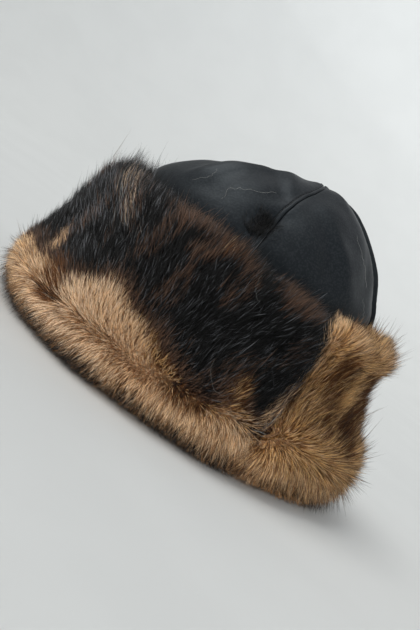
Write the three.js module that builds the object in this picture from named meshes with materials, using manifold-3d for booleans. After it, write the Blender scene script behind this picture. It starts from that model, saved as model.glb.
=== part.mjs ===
// A winter hat: a black leather crown of four gores inside a wide fur cuff that is turned up all round.
// It stands on the cuff's lower fold. Millimetres, +Z up. The wearer faces -X, so the wearer's left is -Y.
// Angles run from the rear (+X) towards the wearer's right (+Y), in degrees.

import * as THREE from "three";
import { mergeVertices } from "three/addons/utils/BufferGeometryUtils.js";
import Module from "manifold-3d";

const wasm = await Module();
wasm.setup();

// The leather crown.
const CROWN_WALL = 2.2; // leather with its backing
const SEAM_GAP = 0.4; // left open between two gores
const SEAM_DIP = 2.6; // how far the seams pull the crown in
const SEAM_PULL = 17; // how far from a seam that is felt
const STRIP_WIDTH = 5; // the seam allowance that is stitched down beside a seam
const STRIP_SLOPE = 1.2; // where a strip's edge has come down, as a share of its width
const STRIP_RISE = 0.9;
const STRIP_SHARE = 1 / 3; // the most of a gore's half width that a strip takes up near the apex
const CROWN_CENTRE = -7; // from the middle of the whole hat, fur included

// The crown's outside from its lower edge to the apex: how far each section reaches to the front, rear and sides.
const CROWN_SECTIONS = [
  { height: 6, front: 97, rear: 100, side: 83 },
  { height: 60, front: 98, rear: 103, side: 86 },
  { height: 104, front: 97, rear: 105, side: 86 },
  { height: 131, front: 93, rear: 105, side: 83 },
  { height: 146, front: 83, rear: 98, side: 76 },
  { height: 159, front: 70, rear: 90, side: 67 },
  { height: 169, front: 54, rear: 81, side: 57 },
  { height: 178, front: 35, rear: 71, side: 45 },
  { height: 186, front: 12, rear: 59, side: 32 },
  { height: 193, front: -7, rear: 42, side: 18 },
  { height: 197.5, front: -22, rear: 24, side: 0.8 },
];

// The crown's four gores. A stitched strip lies along the seam that a gore starts or ends at.
const GORES = [
  { name: "crown_gore_rear_right", start: 0, stripAtStart: true, stripAtEnd: false },
  { name: "crown_gore_front_right", start: 90, stripAtStart: true, stripAtEnd: false },
  { name: "crown_gore_front_left", start: 180, stripAtStart: true, stripAtEnd: true },
  { name: "crown_gore_rear_left", start: 270, stripAtStart: false, stripAtEnd: false },
];
const GORE_SPAN = 90;
const GORE_ROWS = 13;
const GORE_COLUMNS = 6; // between the strips beside its two seams

const FOLDS_BEGIN = [2.6, 4]; // the stations between which the folds come in, behind the cuff's edge

// Soft folds in the leather. Station counts the crown's sections, lean turns a fold from level, and rise is its height.
const CROWN_FOLDS = [
  { angle: 222, station: 6.2, lean: 24, length: 34, width: 7, rise: 2.2 },
  { angle: 236, station: 8.0, lean: 8, length: 26, width: 7, rise: -1.8 },
  { angle: 258, station: 5.6, lean: 62, length: 24, width: 6, rise: -1.6 },
  { angle: 292, station: 5.4, lean: 84, length: 30, width: 7, rise: -2.2 },
  { angle: 310, station: 4.6, lean: 104, length: 26, width: 7, rise: 1.8 },
  { angle: 336, station: 5.2, lean: 78, length: 32, width: 8, rise: -2.0 },
  { angle: 132, station: 6.0, lean: 160, length: 32, width: 7, rise: 2.0 },
  { angle: 104, station: 5.2, lean: 110, length: 26, width: 7, rise: -1.8 },
  { angle: 52, station: 5.0, lean: 84, length: 30, width: 8, rise: -2.2 },
  { angle: 28, station: 4.4, lean: 100, length: 26, width: 7, rise: 1.8 },
];

// The fur cuff. Its two pieces meet on a line across the hat, so far behind the crown's middle.
const CUFF_SPLIT = 83;
const CUFF_GAP = 0.5;
const CROWN_CLEARANCE = 1.2; // between the cuff and the crown
const ROOM_TOP = 150; // above the cuff's locks
const ROOM_STEP = 6; // degrees between two corners of the crown's room
const CUFF_STEP = 9; // degrees between two sections of a pelt
const BURIED = 6; // how far a pelt is first carried into the crown, before the crown's room is cut from it
const PELT_TOP_RISE = 2; // from a pelt's upper edge up to where it meets the crown
const PARTING = 27; // above this height the fur lies upwards, and below it downwards
const END_THINNING = 22; // over which a pelt thins towards its ends

const RIM = { front: 98, rear: 104, side: 85, height: 0 }; // the oval that the pelts stand on

// The pelts' sections from the flat foot round the fold to the upper edge: reach is measured out from the crown.
const FRONT_PELT = [
  { reach: 20, height: 0 },
  { reach: 31, height: 4 },
  { reach: 38, height: 15 },
  { reach: 42, height: 29 },
  { reach: 41, height: 43 },
  { reach: 36, height: 57 },
  { reach: 29, height: 72 },
  { reach: 24, height: 88 },
  { reach: 21, height: 102 },
  { reach: 17, height: 113 },
  { reach: 9, height: 119 },
];
const REAR_PELT = [
  { reach: 24, height: 0 },
  { reach: 35, height: 4 },
  { reach: 42, height: 15 },
  { reach: 47, height: 29 },
  { reach: 44, height: 43 },
  { reach: 34, height: 55 },
  { reach: 28, height: 68 },
  { reach: 23, height: 84 },
  { reach: 21, height: 99 },
  { reach: 23, height: 110 },
  { reach: 16, height: 117 },
];

// The fur's locks, in rows round a pelt. Station counts the pelt's sections, and lift is how far a lock stands off it.
const FRONT_LOCKS = [
  { station: 1.4, length: 18, lift: 46 },
  { station: 3.2, length: 25, lift: 34 },
  { station: 4.4, length: 32, lift: 28 },
  { station: 6.0, length: 36, lift: 22 },
  { station: 7.6, length: 35, lift: 20 },
  { station: 9.2, length: 20, lift: 24 },
];
const REAR_LOCKS = [
  { station: 1.4, length: 17, lift: 44 },
  { station: 3.1, length: 22, lift: 40 },
  { station: 4.4, length: 28, lift: 28 },
  { station: 6.0, length: 30, lift: 20 },
  { station: 7.6, length: 28, lift: 26 },
  { station: 9.2, length: 17, lift: 46 },
];
const LOCK_SPACING = 29;
const LOCK_WIDTH = 31;
const LOCK_DEPTH = 12;
const LOCK_ROOT_SHARE = 0.8; // a lock's size at its root, as a share of its fullest
const LOCK_FROM_SPLIT = 0.25; // how near to the split a lock may be rooted, as a share of its width
const LOCK_ROOT = 5; // how far a lock's root is sunk in its pelt
const LOCK_FULLEST = 0.35; // where along its length a lock is fullest

// How much the locks differ: in shares of their spacing, of a station, and of their own lift, length and width.
const VARIETY = { place: 0.4, station: 0.5, lift: 0.3, sway: 0.44, length: 0.3, width: 0.3 };

// A lock's cross-section, in shares of its width and depth.
const LOCK_SECTION = [
  { across: -0.5, above: -0.35 },
  { across: 0.5, above: -0.35 },
  { across: 0, above: 0.65 },
];
const TRIM = 400; // larger than the hat, for the solids that cut it

// Each cuff is built between two angles, wider than it ends up, and is then cut to its side of the split.
// From the sides its upper edge falls by a share of its height to the front and rear, and its ends thin to a share.
const CUFFS = [
  {
    name: "fur_cuff_front",
    pelt: FRONT_PELT,
    locks: FRONT_LOCKS,
    start: 28,
    end: 332,
    side: -1,
    fall: { front: 0.05, rear: 0.1 },
    thinning: 0.8,
    seed: 11,
  },
  {
    name: "fur_cuff_rear",
    pelt: REAR_PELT,
    locks: REAR_LOCKS,
    start: -68,
    end: 68,
    side: 1,
    fall: { front: 0, rear: 0 },
    thinning: 0.92,
    seed: 47,
  },
];

const LEATHER = new THREE.MeshStandardMaterial({ color: 0x24272a, roughness: 0.5, metalness: 0 });
const DARK_FUR = new THREE.MeshStandardMaterial({ color: 0x2a2420, roughness: 0.85, metalness: 0 });
const TAN_FUR = new THREE.MeshStandardMaterial({ color: 0x8a6a45, roughness: 0.85, metalness: 0 });

const UP = new THREE.Vector3(0, 0, 1);
const MERGE_DISTANCE = 1e-4; // corners nearer than this are one
const SLOPE_STEP = 0.05; // the part of a station over which a surface's slope is taken
const { degToRad: radians, seededRandom } = THREE.MathUtils;

// A table read between two of its rows, on a smooth curve through all of them.
function readBetween(rows, place) {
  const first = THREE.MathUtils.clamp(Math.floor(place), 0, rows.length - 2);
  const t = place - first;
  const row = (k) => rows[THREE.MathUtils.clamp(k, 0, rows.length - 1)];
  const around = [row(first - 1), row(first), row(first + 1), row(first + 2)];
  const read = {};
  for (const column of Object.keys(rows[0])) {
    const [a, b, c, d] = around.map((r) => r[column]);
    read[column] = b + 0.5 * t * (c - a + t * (2 * a - 5 * b + 4 * c - d + t * (3 * (b - c) + d - a)));
  }
  return read;
}

// A point of a level oval that reaches so far to the front, rear and sides.
function ovalPoint({ front, rear, side, height }, angle) {
  const turn = radians(angle);
  const along = (rear - front) / 2 + ((rear + front) / 2) * Math.cos(turn);
  return new THREE.Vector3(along, side * Math.sin(turn), height);
}

// The outward normal of a surface that is given as a function of an angle and a station.
function normalOf(surface, angle, station) {
  const round = surface(angle + 1, station).sub(surface(angle - 1, station));
  const upward = surface(angle, station + SLOPE_STEP).sub(surface(angle, station - SLOPE_STEP));
  return round.cross(upward).normalize();
}

const crownPoint = (angle, station) => ovalPoint(readBetween(CROWN_SECTIONS, station), angle);

// The degrees that a distance along a crown section takes up.
function degreesAlong(station, angle, distance) {
  const around = crownPoint(angle + 1, station).distanceTo(crownPoint(angle - 1, station)) / 2;
  return distance / around;
}

// How far the crown's outside stands out at a point, by the pull of its seams and by its folds.
function crownRelief(angle, station) {
  const point = crownPoint(angle, station);
  const nearest = Math.round(angle / GORE_SPAN) * GORE_SPAN;
  const fromSeam = point.distanceTo(crownPoint(nearest, station));
  let relief = -SEAM_DIP * Math.exp(-((fromSeam / SEAM_PULL) ** 2));
  for (const fold of CROWN_FOLDS) {
    const middle = crownPoint(fold.angle, fold.station);
    const level = crownPoint(fold.angle + 1, fold.station).sub(middle).normalize();
    const normal = normalOf(crownPoint, fold.angle, fold.station);
    const along = level.clone().applyAxisAngle(normal, radians(fold.lean));
    const across = along.clone().cross(normal);
    const away = point.clone().sub(middle);
    const reach = (away.dot(along) / fold.length) ** 2 + (away.dot(across) / fold.width) ** 2;
    const free = THREE.MathUtils.smoothstep(station, ...FOLDS_BEGIN);
    relief += free * fold.rise * Math.exp(-reach - (away.dot(normal) / fold.length) ** 2);
  }
  return relief;
}

// A closed wall between two grids of points that match, from lists of triangles.
function wallBetween(outer, inner) {
  const columns = outer[0].length;
  const rows = outer.length;
  const points = [...outer.flat(), ...inner.flat()];
  const outside = (row, column) => row * columns + column;
  const inside = (row, column) => rows * columns + outside(row, column);
  const triangles = [];
  const quad = (a, b, c, d) => triangles.push(a, b, c, a, c, d);
  for (let r = 0; r + 1 < rows; r++) {
    for (let c = 0; c + 1 < columns; c++) {
      quad(outside(r, c), outside(r, c + 1), outside(r + 1, c + 1), outside(r + 1, c));
      quad(inside(r, c), inside(r + 1, c), inside(r + 1, c + 1), inside(r, c + 1));
    }
    const last = columns - 1;
    quad(outside(r, 0), outside(r + 1, 0), inside(r + 1, 0), inside(r, 0));
    quad(outside(r, last), inside(r, last), inside(r + 1, last), outside(r + 1, last));
  }
  for (let c = 0; c + 1 < columns; c++) {
    const top = rows - 1;
    quad(outside(0, c), inside(0, c), inside(0, c + 1), outside(0, c + 1));
    quad(outside(top, c), outside(top, c + 1), inside(top, c + 1), inside(top, c));
  }
  return geometryOf(points, triangles);
}

function geometryOf(points, triangles) {
  const geometry = new THREE.BufferGeometry();
  geometry.setAttribute("position", new THREE.Float32BufferAttribute(points.flatMap((p) => [p.x, p.y, p.z]), 3));
  geometry.setIndex(triangles);
  return geometry;
}

// A closed geometry as a solid that can be joined and cut, turned right side out.
function solidOf(geometry) {
  const bare = geometry.clone();
  bare.deleteAttribute("normal");
  bare.deleteAttribute("uv");
  const merged = mergeVertices(bare, MERGE_DISTANCE);
  const vertProperties = new Float32Array(merged.attributes.position.array);
  const build = (order) => new wasm.Manifold(new wasm.Mesh({ numProp: 3, vertProperties, triVerts: order }));
  const triangles = new Uint32Array(merged.index.array);
  const solid = build(triangles);
  return solid.volume() > 0 ? solid : build(triangles.toReversed());
}

function meshOf(name, solid, material) {
  const { vertProperties, triVerts, numProp } = solid.getMesh();
  const corners = Array.from(triVerts, (v) => vertProperties.subarray(v * numProp, v * numProp + 3));
  const geometry = new THREE.BufferGeometry();
  geometry.setAttribute("position", new THREE.Float32BufferAttribute(corners.flatMap((p) => [...p]), 3));
  geometry.computeVertexNormals();
  const mesh = new THREE.Mesh(geometry, material);
  mesh.name = name;
  return mesh;
}

// One gore of the crown, with the raised strips of its stitched seams.
function makeGore({ name, start, stripAtStart, stripAtEnd }) {
  const outer = [];
  const inner = [];
  for (let r = 0; r <= GORE_ROWS; r++) {
    const station = ((CROWN_SECTIONS.length - 1) * r) / GORE_ROWS;
    const room = GORE_SPAN / 2 / degreesAlong(station, start + GORE_SPAN / 2, 1);
    const strip = Math.min(STRIP_WIDTH, room * STRIP_SHARE);
    const edge = strip * STRIP_SLOPE;
    const end = start + GORE_SPAN;
    const columns = [];
    for (const [distance, raised] of [[SEAM_GAP / 2, true], [strip, true], [edge, false]]) {
      columns.push({ angle: start + degreesAlong(station, start, distance), raised: raised && stripAtStart });
    }
    const from = columns[2].angle;
    const to = end - degreesAlong(station, end, edge);
    for (let c = 1; c < GORE_COLUMNS; c++) {
      columns.push({ angle: from + ((to - from) * c) / GORE_COLUMNS, raised: false });
    }
    for (const [distance, raised] of [[edge, false], [strip, true], [SEAM_GAP / 2, true]]) {
      columns.push({ angle: end - degreesAlong(station, end, distance), raised: raised && stripAtEnd });
    }
    const wall = columns.map(({ angle, raised }) => {
      const out = r === GORE_ROWS ? UP : normalOf(crownPoint, angle, Math.max(station, SLOPE_STEP));
      const relief = crownRelief(angle, station);
      return {
        outer: crownPoint(angle, station).addScaledVector(out, relief + (raised ? STRIP_RISE : 0)),
        inner: crownPoint(angle, station).addScaledVector(out, relief - CROWN_WALL),
      };
    });
    outer.push(wall.map((w) => w.outer));
    inner.push(wall.map((w) => w.inner));
  }
  return meshOf(name, solidOf(wallBetween(outer, inner)), LEATHER);
}

// The room that the cuff leaves for the crown: its lower part as a solid, a little larger all round.
function crownRoom() {
  const lowest = { ...CROWN_SECTIONS[0], height: -BURIED };
  const sections = [lowest, ...CROWN_SECTIONS.filter(({ height }) => height < ROOM_TOP)];
  const rows = sections.map((section) => {
    const points = [];
    for (let angle = 0; angle < 360; angle += ROOM_STEP) {
      const point = ovalPoint(section, angle);
      const away = new THREE.Vector3(point.x, point.y, 0).normalize();
      points.push(point.addScaledVector(away, CROWN_CLEARANCE));
    }
    return points;
  });
  return solidOf(closedLoft(rows));
}

// A solid through closed rings of points that match, capped at both ends with fans.
function closedLoft(rings) {
  const count = rings[0].length;
  const points = rings.flat();
  const triangles = [];
  for (let r = 0; r + 1 < rings.length; r++) {
    for (let i = 0; i < count; i++) {
      const a = r * count + i;
      const b = r * count + ((i + 1) % count);
      triangles.push(a, b, b + count, a, b + count, a + count);
    }
  }
  const top = (rings.length - 1) * count;
  for (let i = 1; i + 1 < count; i++) {
    triangles.push(0, i + 1, i, top, top + i, top + i + 1);
  }
  return geometryOf(points, triangles);
}

// How far a place lies on a cuff's own side of the split.
const insideSplit = (cuff, point) => cuff.side * (point.x - CUFF_SPLIT) - CUFF_GAP / 2;

const rimNormal = (angle) => normalOf((a, height) => ovalPoint({ ...RIM, height }, a), angle, 0);

// A point of a pelt's outside: its section stands on the crown's rim oval and thins towards the pelt's ends.
function peltPoint(cuff, angle, station) {
  const { reach, height } = readBetween(cuff.pelt, station);
  const foot = ovalPoint(RIM, angle);
  const fromEnd = THREE.MathUtils.smoothstep(insideSplit(cuff, foot), 0, END_THINNING);
  const full = cuff.thinning + (1 - cuff.thinning) * fromEnd;
  const rearward = Math.cos(radians(angle));
  const fall = 1 - cuff.fall.rear * Math.max(0, rearward) - cuff.fall.front * Math.max(0, -rearward);
  return foot.addScaledVector(rimNormal(angle), reach * full).addScaledVector(UP, height * fall);
}

// The pelt itself: a closed band whose inner side runs into the crown until the crown's room is cut from it.
function makePelt(cuff) {
  const steps = Math.round((cuff.end - cuff.start) / CUFF_STEP);
  const rings = [];
  for (let s = 0; s <= steps; s++) {
    const angle = cuff.start + ((cuff.end - cuff.start) * s) / steps;
    const inner = ovalPoint(RIM, angle).addScaledVector(rimNormal(angle), -BURIED);
    const ring = cuff.pelt.map((_, station) => peltPoint(cuff, angle, station));
    const top = ring[ring.length - 1].z + PELT_TOP_RISE;
    rings.push([inner.clone(), ...ring, inner.clone().setZ(top)]);
  }
  return solidOf(closedLoft(rings));
}

// One lock of fur: a ridged wedge that leaves the pelt at a slant and ends in a point.
function makeLock(root, direction, normal, length, width) {
  const side = direction.clone().cross(normal).normalize();
  const over = side.clone().cross(direction).normalize();
  const ring = (along, share) => {
    const middle = root.clone().addScaledVector(direction, length * along);
    return LOCK_SECTION.map(({ across, above }) =>
      middle
        .clone()
        .addScaledVector(side, across * share * width)
        .addScaledVector(over, above * share * LOCK_DEPTH),
    );
  };
  const count = LOCK_SECTION.length;
  const tip = root.clone().addScaledVector(direction, length);
  const points = [...ring(0, LOCK_ROOT_SHARE), ...ring(LOCK_FULLEST, 1), tip];
  const triangles = [0, 2, 1];
  for (let i = 0; i < count; i++) {
    const next = (i + 1) % count;
    triangles.push(i, next, next + count, i, next + count, i + count, i + count, next + count, 2 * count);
  }
  return solidOf(geometryOf(points, triangles));
}

// All the locks of a cuff, row by row. The rows alternate, and each row's left half mirrors its right half.
function makeLocks(cuff) {
  const surface = (angle, station) => peltPoint(cuff, angle, station);
  const locks = [];
  cuff.locks.forEach((row, rowNumber) => {
    const middle = (cuff.start + cuff.end) / 2;
    const around = surface(middle + 1, row.station).distanceTo(surface(middle - 1, row.station)) / 2;
    const pairs = Math.round(((cuff.end - cuff.start) * around) / LOCK_SPACING / 2);
    const count = 2 * pairs + (rowNumber % 2);
    for (let i = 0; i < count; i++) {
      const hand = Math.sign(2 * i + 1 - count);
      const place = (cuff.seed + rowNumber) * count + Math.min(i, count - 1 - i);
      const chances = Object.keys(VARIETY);
      const vary = (what) =>
        VARIETY[what] * (seededRandom(place * chances.length + chances.indexOf(what)) - 0.5);
      const share = (i + 0.5 + hand * vary("place")) / count;
      const angle = cuff.start + (cuff.end - cuff.start) * share;
      const station = row.station + vary("station");
      if (insideSplit(cuff, surface(angle, station)) < LOCK_WIDTH * LOCK_FROM_SPLIT) {
        continue;
      }
      const normal = normalOf(surface, angle, station);
      const upward = surface(angle, station + SLOPE_STEP)
        .sub(surface(angle, station - SLOPE_STEP))
        .normalize();
      const lies = surface(angle, station).z > PARTING ? 1 : -1;
      const lift = radians(row.lift * (1 + vary("lift")));
      const direction = upward
        .clone()
        .multiplyScalar(lies * Math.cos(lift))
        .addScaledVector(normal, Math.sin(lift))
        .addScaledVector(normal.clone().cross(upward), hand * vary("sway"))
        .normalize();
      const root = surface(angle, station).addScaledVector(normal, -LOCK_ROOT);
      const length = row.length * (1 + vary("length")) + LOCK_ROOT;
      locks.push(makeLock(root, direction, normal, length, LOCK_WIDTH * (1 + vary("width"))));
    }
  });
  return locks;
}

// The space above the ground on a cuff's own side of the split.
function ownSide(cuff) {
  const space = new THREE.BoxGeometry(TRIM, TRIM, TRIM);
  space.translate(CUFF_SPLIT + (cuff.side * (TRIM + CUFF_GAP)) / 2, 0, TRIM / 2);
  return solidOf(space);
}

// A whole cuff: the pelt with its locks fused on, kept above the ground, beside the other cuff and clear of the crown.
function makeCuff(cuff, material) {
  let fur = makePelt(cuff);
  for (const lock of makeLocks(cuff)) {
    fur = fur.add(lock);
  }
  fur = fur.intersect(ownSide(cuff)).subtract(crownRoom());
  const largest = fur.decompose().reduce((a, b) => (a.volume() > b.volume() ? a : b));
  return meshOf(cuff.name, largest, material);
}

const hat = new THREE.Group();
hat.name = "hat";
hat.position.x = CROWN_CENTRE;
for (const gore of GORES) {
  hat.add(makeGore(gore));
}
hat.add(makeCuff(CUFFS[0], DARK_FUR));
hat.add(makeCuff(CUFFS[1], TAN_FUR));

export default hat;
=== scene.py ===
"""A winter hat: a gored leather crown inside a deep fur cuff, turned up all round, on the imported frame.

Tables are in millimetres and Blender's objects in metres. The wearer faces -X, so the wearer's left is -Y.
Angles run from the rear (+X) towards the wearer's right (+Y), in degrees, about the crown's own middle. A
station counts the rows of a table of sections, with fractions.
"""

import logging
import math
from collections.abc import Callable, Sequence
from dataclasses import dataclass, fields
from enum import Enum

import bpy
import numpy as np
from mathutils import Matrix, Vector
from mathutils.kdtree import KDTree


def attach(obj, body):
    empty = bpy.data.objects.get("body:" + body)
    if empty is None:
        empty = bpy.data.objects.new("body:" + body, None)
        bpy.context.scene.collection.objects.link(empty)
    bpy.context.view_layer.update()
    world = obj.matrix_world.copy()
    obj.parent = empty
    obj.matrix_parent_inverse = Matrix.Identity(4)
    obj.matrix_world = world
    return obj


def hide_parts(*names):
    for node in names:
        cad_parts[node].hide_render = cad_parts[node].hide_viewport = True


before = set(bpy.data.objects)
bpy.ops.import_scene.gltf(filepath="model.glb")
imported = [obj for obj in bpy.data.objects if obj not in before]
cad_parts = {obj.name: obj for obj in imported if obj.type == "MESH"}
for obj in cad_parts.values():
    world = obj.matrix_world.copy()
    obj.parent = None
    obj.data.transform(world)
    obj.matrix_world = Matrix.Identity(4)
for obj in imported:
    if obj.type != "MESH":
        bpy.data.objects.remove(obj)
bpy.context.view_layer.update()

log = logging.getLogger("hat")

MM = 0.001
CROWN_CENTRE = -7.0  # the crown's middle, from the middle of the whole hat
HAIR_MAP = "OFBake"  # the map that the hairs' colours are read from
EDGE_WEAR_AND_HIGHLIGHT = "edge_wear_and_highlight"  # how much rub wear and painted highlight a leather point takes, beside its seams and along the front's crests
PALETTE_BAND = 0.036  # half of a kind's band on the palette
MAP_WIDTH = 0.002  # of one hair on its map
FLOOR_MARGIN = 0.35  # how near the ground a hair comes
Colour = tuple[int, int, int]
Array = np.ndarray
Chance = np.random.Generator
Socket = bpy.types.NodeSocket
Material = bpy.types.Material
Object = bpy.types.Object
Outputs = bpy.types.bpy_prop_collection
Surface = Callable[[Array, Array], Array]


def linear(colour: Colour) -> tuple[float, float, float, float]:
    """Turns an sRGB colour into the linear one that shaders take.

    Args:
        colour: red, green and blue from 0 to 255.

    Returns:
        The linear colour, with an alpha of 1.
    """
    shares = (value / 255 for value in colour)
    red, green, blue = (s / 12.92 if s <= 0.04045 else ((s + 0.055) / 1.055) ** 2.4 for s in shares)
    return red, green, blue, 1.0


def smooth(value: Array, low: float, high: float) -> Array:
    """Rises smoothly from 0 where a value is at low to 1 where it is at high."""
    t = np.clip((value - low) / (high - low), 0, 1)
    return t * t * (3 - 2 * t)


def hill(distance: Array, width: float) -> Array:
    """A share that is 1 at no distance and falls smoothly, to about a third at the width."""
    return np.exp(-((distance / width) ** 2))


def unit(vectors: Array) -> Array:
    """The vectors at a length of one."""
    return vectors / np.maximum(np.linalg.norm(vectors, axis=-1, keepdims=True), 1e-9)


def drift(points: Array, scale: float, seed: int) -> Array:
    """A smooth random field, as a sum of waves that run in several directions.

    Args:
        points: places in millimetres.
        scale: the rough width of a rise or a hollow.
        seed: the field's number.

    Returns:
        One value for each point, mostly between -1 and 1.
    """
    rng = np.random.default_rng(seed)
    waves = 7
    runs = unit(rng.normal(size=(waves, 3))) * (math.pi / scale) * rng.uniform(0.6, 1.4, (waves, 1))
    return np.sin(points @ runs.T + rng.uniform(0, math.tau, waves)).sum(-1) / math.sqrt(waves)


def table(kind: type, *rows: tuple) -> tuple:
    """Makes a table: each row of values becomes a dataclass of the given kind."""
    return tuple(kind(*row) for row in rows)


def column(rows: Sequence, name: str) -> list[float]:
    """One column of a table."""
    return [getattr(row, name) for row in rows]


def read_straight(rows: Sequence, by: str, name: str, places: Array) -> Array:
    """Reads the column called name in straight steps, at places in the column called by."""
    return np.interp(places, column(rows, by), column(rows, name))


def station_at(rows: Sequence, heights: Array) -> Array:
    """The stations at which a table of sections reaches some heights."""
    return np.interp(heights, column(rows, "height"), range(len(rows)))


def read_between(rows: Sequence, places: Array) -> dict[str, Array]:
    """Reads a table between its rows, on a smooth curve through all of them.

    Args:
        rows: the table's rows, as dataclasses of numbers.
        places: row numbers, with fractions.

    Returns:
        One array for each column.
    """
    first = np.clip(np.floor(places).astype(int), 0, len(rows) - 2)
    t = places - first
    read = {}
    for field in fields(rows[0]):
        values = np.array(column(rows, field.name), float)
        a, b, c, d = (values[np.clip(first + k, 0, len(rows) - 1)] for k in (-1, 0, 1, 2))
        bend = 2 * a - 5 * b + 4 * c - d + t * (3 * (b - c) + d - a)
        read[field.name] = b + 0.5 * t * (c - a + t * bend)
    return read


@dataclass(frozen=True)
class CrownSection:
    """A level section of the crown: how far it reaches to the front, rear and sides."""

    height: float
    front: float
    rear: float
    side: float


@dataclass(frozen=True)
class Fold:
    """A soft fold in the leather. Station counts the crown's sections, and lean turns it from level."""

    angle: float
    station: float
    lean: float
    length: float
    width: float
    rise: float


@dataclass(frozen=True)
class PeltSection:
    """A corner of a pelt's section: how far out from the crown's rim, and how high."""

    reach: float
    height: float


@dataclass(frozen=True)
class HairRow:
    """The hair at one station of a pelt: its length, and how steeply it stands off the pelt in degrees."""

    station: float
    length: float
    lift: float


CROWN_SECTIONS = table(
    CrownSection,
    (6, 97, 100, 83), (60, 98, 103, 86), (104, 97, 105, 86), (131, 93, 103.6, 83), (146, 83, 96, 76),
    (159, 70, 88, 67), (169, 54, 79, 57), (178, 35, 69, 45), (186, 12, 57.5, 32), (193, -7, 42, 18),
    (197.5, -16, 18, 0.8),
)
CROWN_TOP = len(CROWN_SECTIONS) - 1  # the station of the crown's top
CROWN_FOLDS = table(
    Fold,
    (211, 6.0, 84, 26, 7, -3.0), (148, 6.0, 98, 24, 7, -2.0), (240, 7.0, 150, 24, 7, -1.6),
    (250, 7.4, 128, 20, 6, 1.6), (258, 5.6, 62, 24, 6, -1.6), (267, 4.5, 55, 12, 6, -4.6),
    (309, 4.8, 122, 34, 6, 2.2), (298, 5.0, 118, 30, 7, -1.8), (336, 5.2, 78, 32, 8, -2.0),
    (132, 6.0, 160, 32, 7, 2.0), (104, 5.2, 110, 26, 7, -1.8), (52, 5.0, 84, 30, 8, -2.2),
    (28, 4.4, 100, 26, 7, 1.8),
)
FRONT_PELT = table(
    PeltSection,
    (20, 0), (31, 4), (38, 15), (42, 29), (41, 43), (36, 57), (29, 72), (24, 88), (21, 102), (17, 113),
    (9, 119), (3, 120),
)
REAR_PELT = table(
    PeltSection,
    (24, 0), (35, 4), (42, 15), (47, 29), (44, 43), (34, 55), (28, 68), (23, 84), (21, 99), (23, 110),
    (16, 117), (4, 119),
)
FRONT_HAIR = table(
    HairRow,
    (0, 9, 92), (1.0, 12, 82), (2.2, 13, 66), (3.2, 12, 58), (4.4, 13, 55), (6.0, 14, 50), (7.6, 14, 47),
    (9.2, 15, 45), (11, 12, 50),
)
REAR_HAIR = table(
    HairRow,
    (0, 9, 92), (1.0, 12, 82), (2.2, 14, 66), (3.2, 13, 60), (4.4, 14, 55), (6.0, 13, 50), (7.6, 13, 49),
    (9.2, 13, 52), (11, 11, 56),
)


def oval(section: dict[str, Array], angles: Array) -> Array:
    """Points of level ovals about the crown's middle.

    Args:
        section: front, rear, side and height of each oval.
        angles: where on its oval each point lies.

    Returns:
        Points in millimetres, in the row's frame.
    """
    turn = np.radians(angles)
    middle, half = (section["rear"] - section["front"]) / 2, (section["rear"] + section["front"]) / 2
    along = CROWN_CENTRE + middle + half * np.cos(turn)
    return np.stack(np.broadcast_arrays(along, section["side"] * np.sin(turn), section["height"]), -1)


@dataclass
class Skin:
    """What a surface is like at many places: its normal, its upward and sideways runs, and their sizes."""

    normal: Array
    upward: Array
    around: Array
    per_station: Array
    per_degree: Array


def skin_of(surface: Surface, angles: Array, stations: Array) -> Skin:
    """Measures a surface that is given as a function of an angle and a station.

    Args:
        surface: the function, which takes and returns arrays.
        angles: the places' angles.
        stations: the places' stations.

    Returns:
        The surface's normal and runs at each place.
    """
    step = 0.05
    around = (surface(angles + 1, stations) - surface(angles - 1, stations)) / 2
    upward = (surface(angles, stations + step) - surface(angles, stations - step)) / (2 * step)
    per_degree, per_station = (np.linalg.norm(run, axis=-1) for run in (around, upward))
    normal = unit(np.cross(around, upward))
    return Skin(normal, unit(upward), unit(around), per_station, per_degree)


def deselect_all() -> None:
    for thing in bpy.context.selected_objects:
        thing.select_set(False)


def select_only(thing: Object) -> None:
    """Makes an object the only one that is selected, and the active one.

    Args:
        thing: the object.
    """
    deselect_all()
    thing.select_set(True)
    bpy.context.view_layer.objects.active = thing


def shade_smooth(mesh: bpy.types.Mesh) -> None:
    """Shades all the faces of a mesh smoothly."""
    mesh.polygons.foreach_set("use_smooth", np.ones(len(mesh.polygons), bool))


def corners_of(mesh: bpy.types.Mesh) -> Array:
    """Reads the points of a mesh.

    Args:
        mesh: the mesh.

    Returns:
        Its points, in metres.
    """
    corners = np.empty(len(mesh.vertices) * 3)
    mesh.vertices.foreach_get("co", corners)
    return corners.reshape(-1, 3)


def add_hair_map(mesh: bpy.types.Mesh, tone: Array, along: Array) -> None:
    """Adds the hairs' map: each face corner's place on the palette, and how far along a hair it is."""
    layer = mesh.uv_layers.new(name=HAIR_MAP, do_init=False)
    layer.uv.foreach_set("vector", np.stack([tone, along], -1).astype(np.float32).ravel())


def wrapped_grid(name: str, columns: int, rows: int, place: Surface) -> Object:
    """Adds a grid and moves each of its corners to its place on a surface.

    Args:
        name: the new object's name.
        columns: corners across the grid.
        rows: corners up the grid.
        place: takes arrays of column and row numbers, and returns points in millimetres.

    Returns:
        The grid's object, at the origin.
    """
    deselect_all()
    bpy.ops.mesh.primitive_grid_add(x_subdivisions=columns - 1, y_subdivisions=rows - 1, size=2)
    grid = bpy.context.object
    grid.name = grid.data.name = name
    share = (corners_of(grid.data)[:, :2] + 1) / 2
    across, up = np.rint(share * (columns - 1, rows - 1)).astype(int).T
    grid.data.vertices.foreach_set("co", (place(across, up) * MM).ravel())
    grid.data.update()
    return grid


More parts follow.
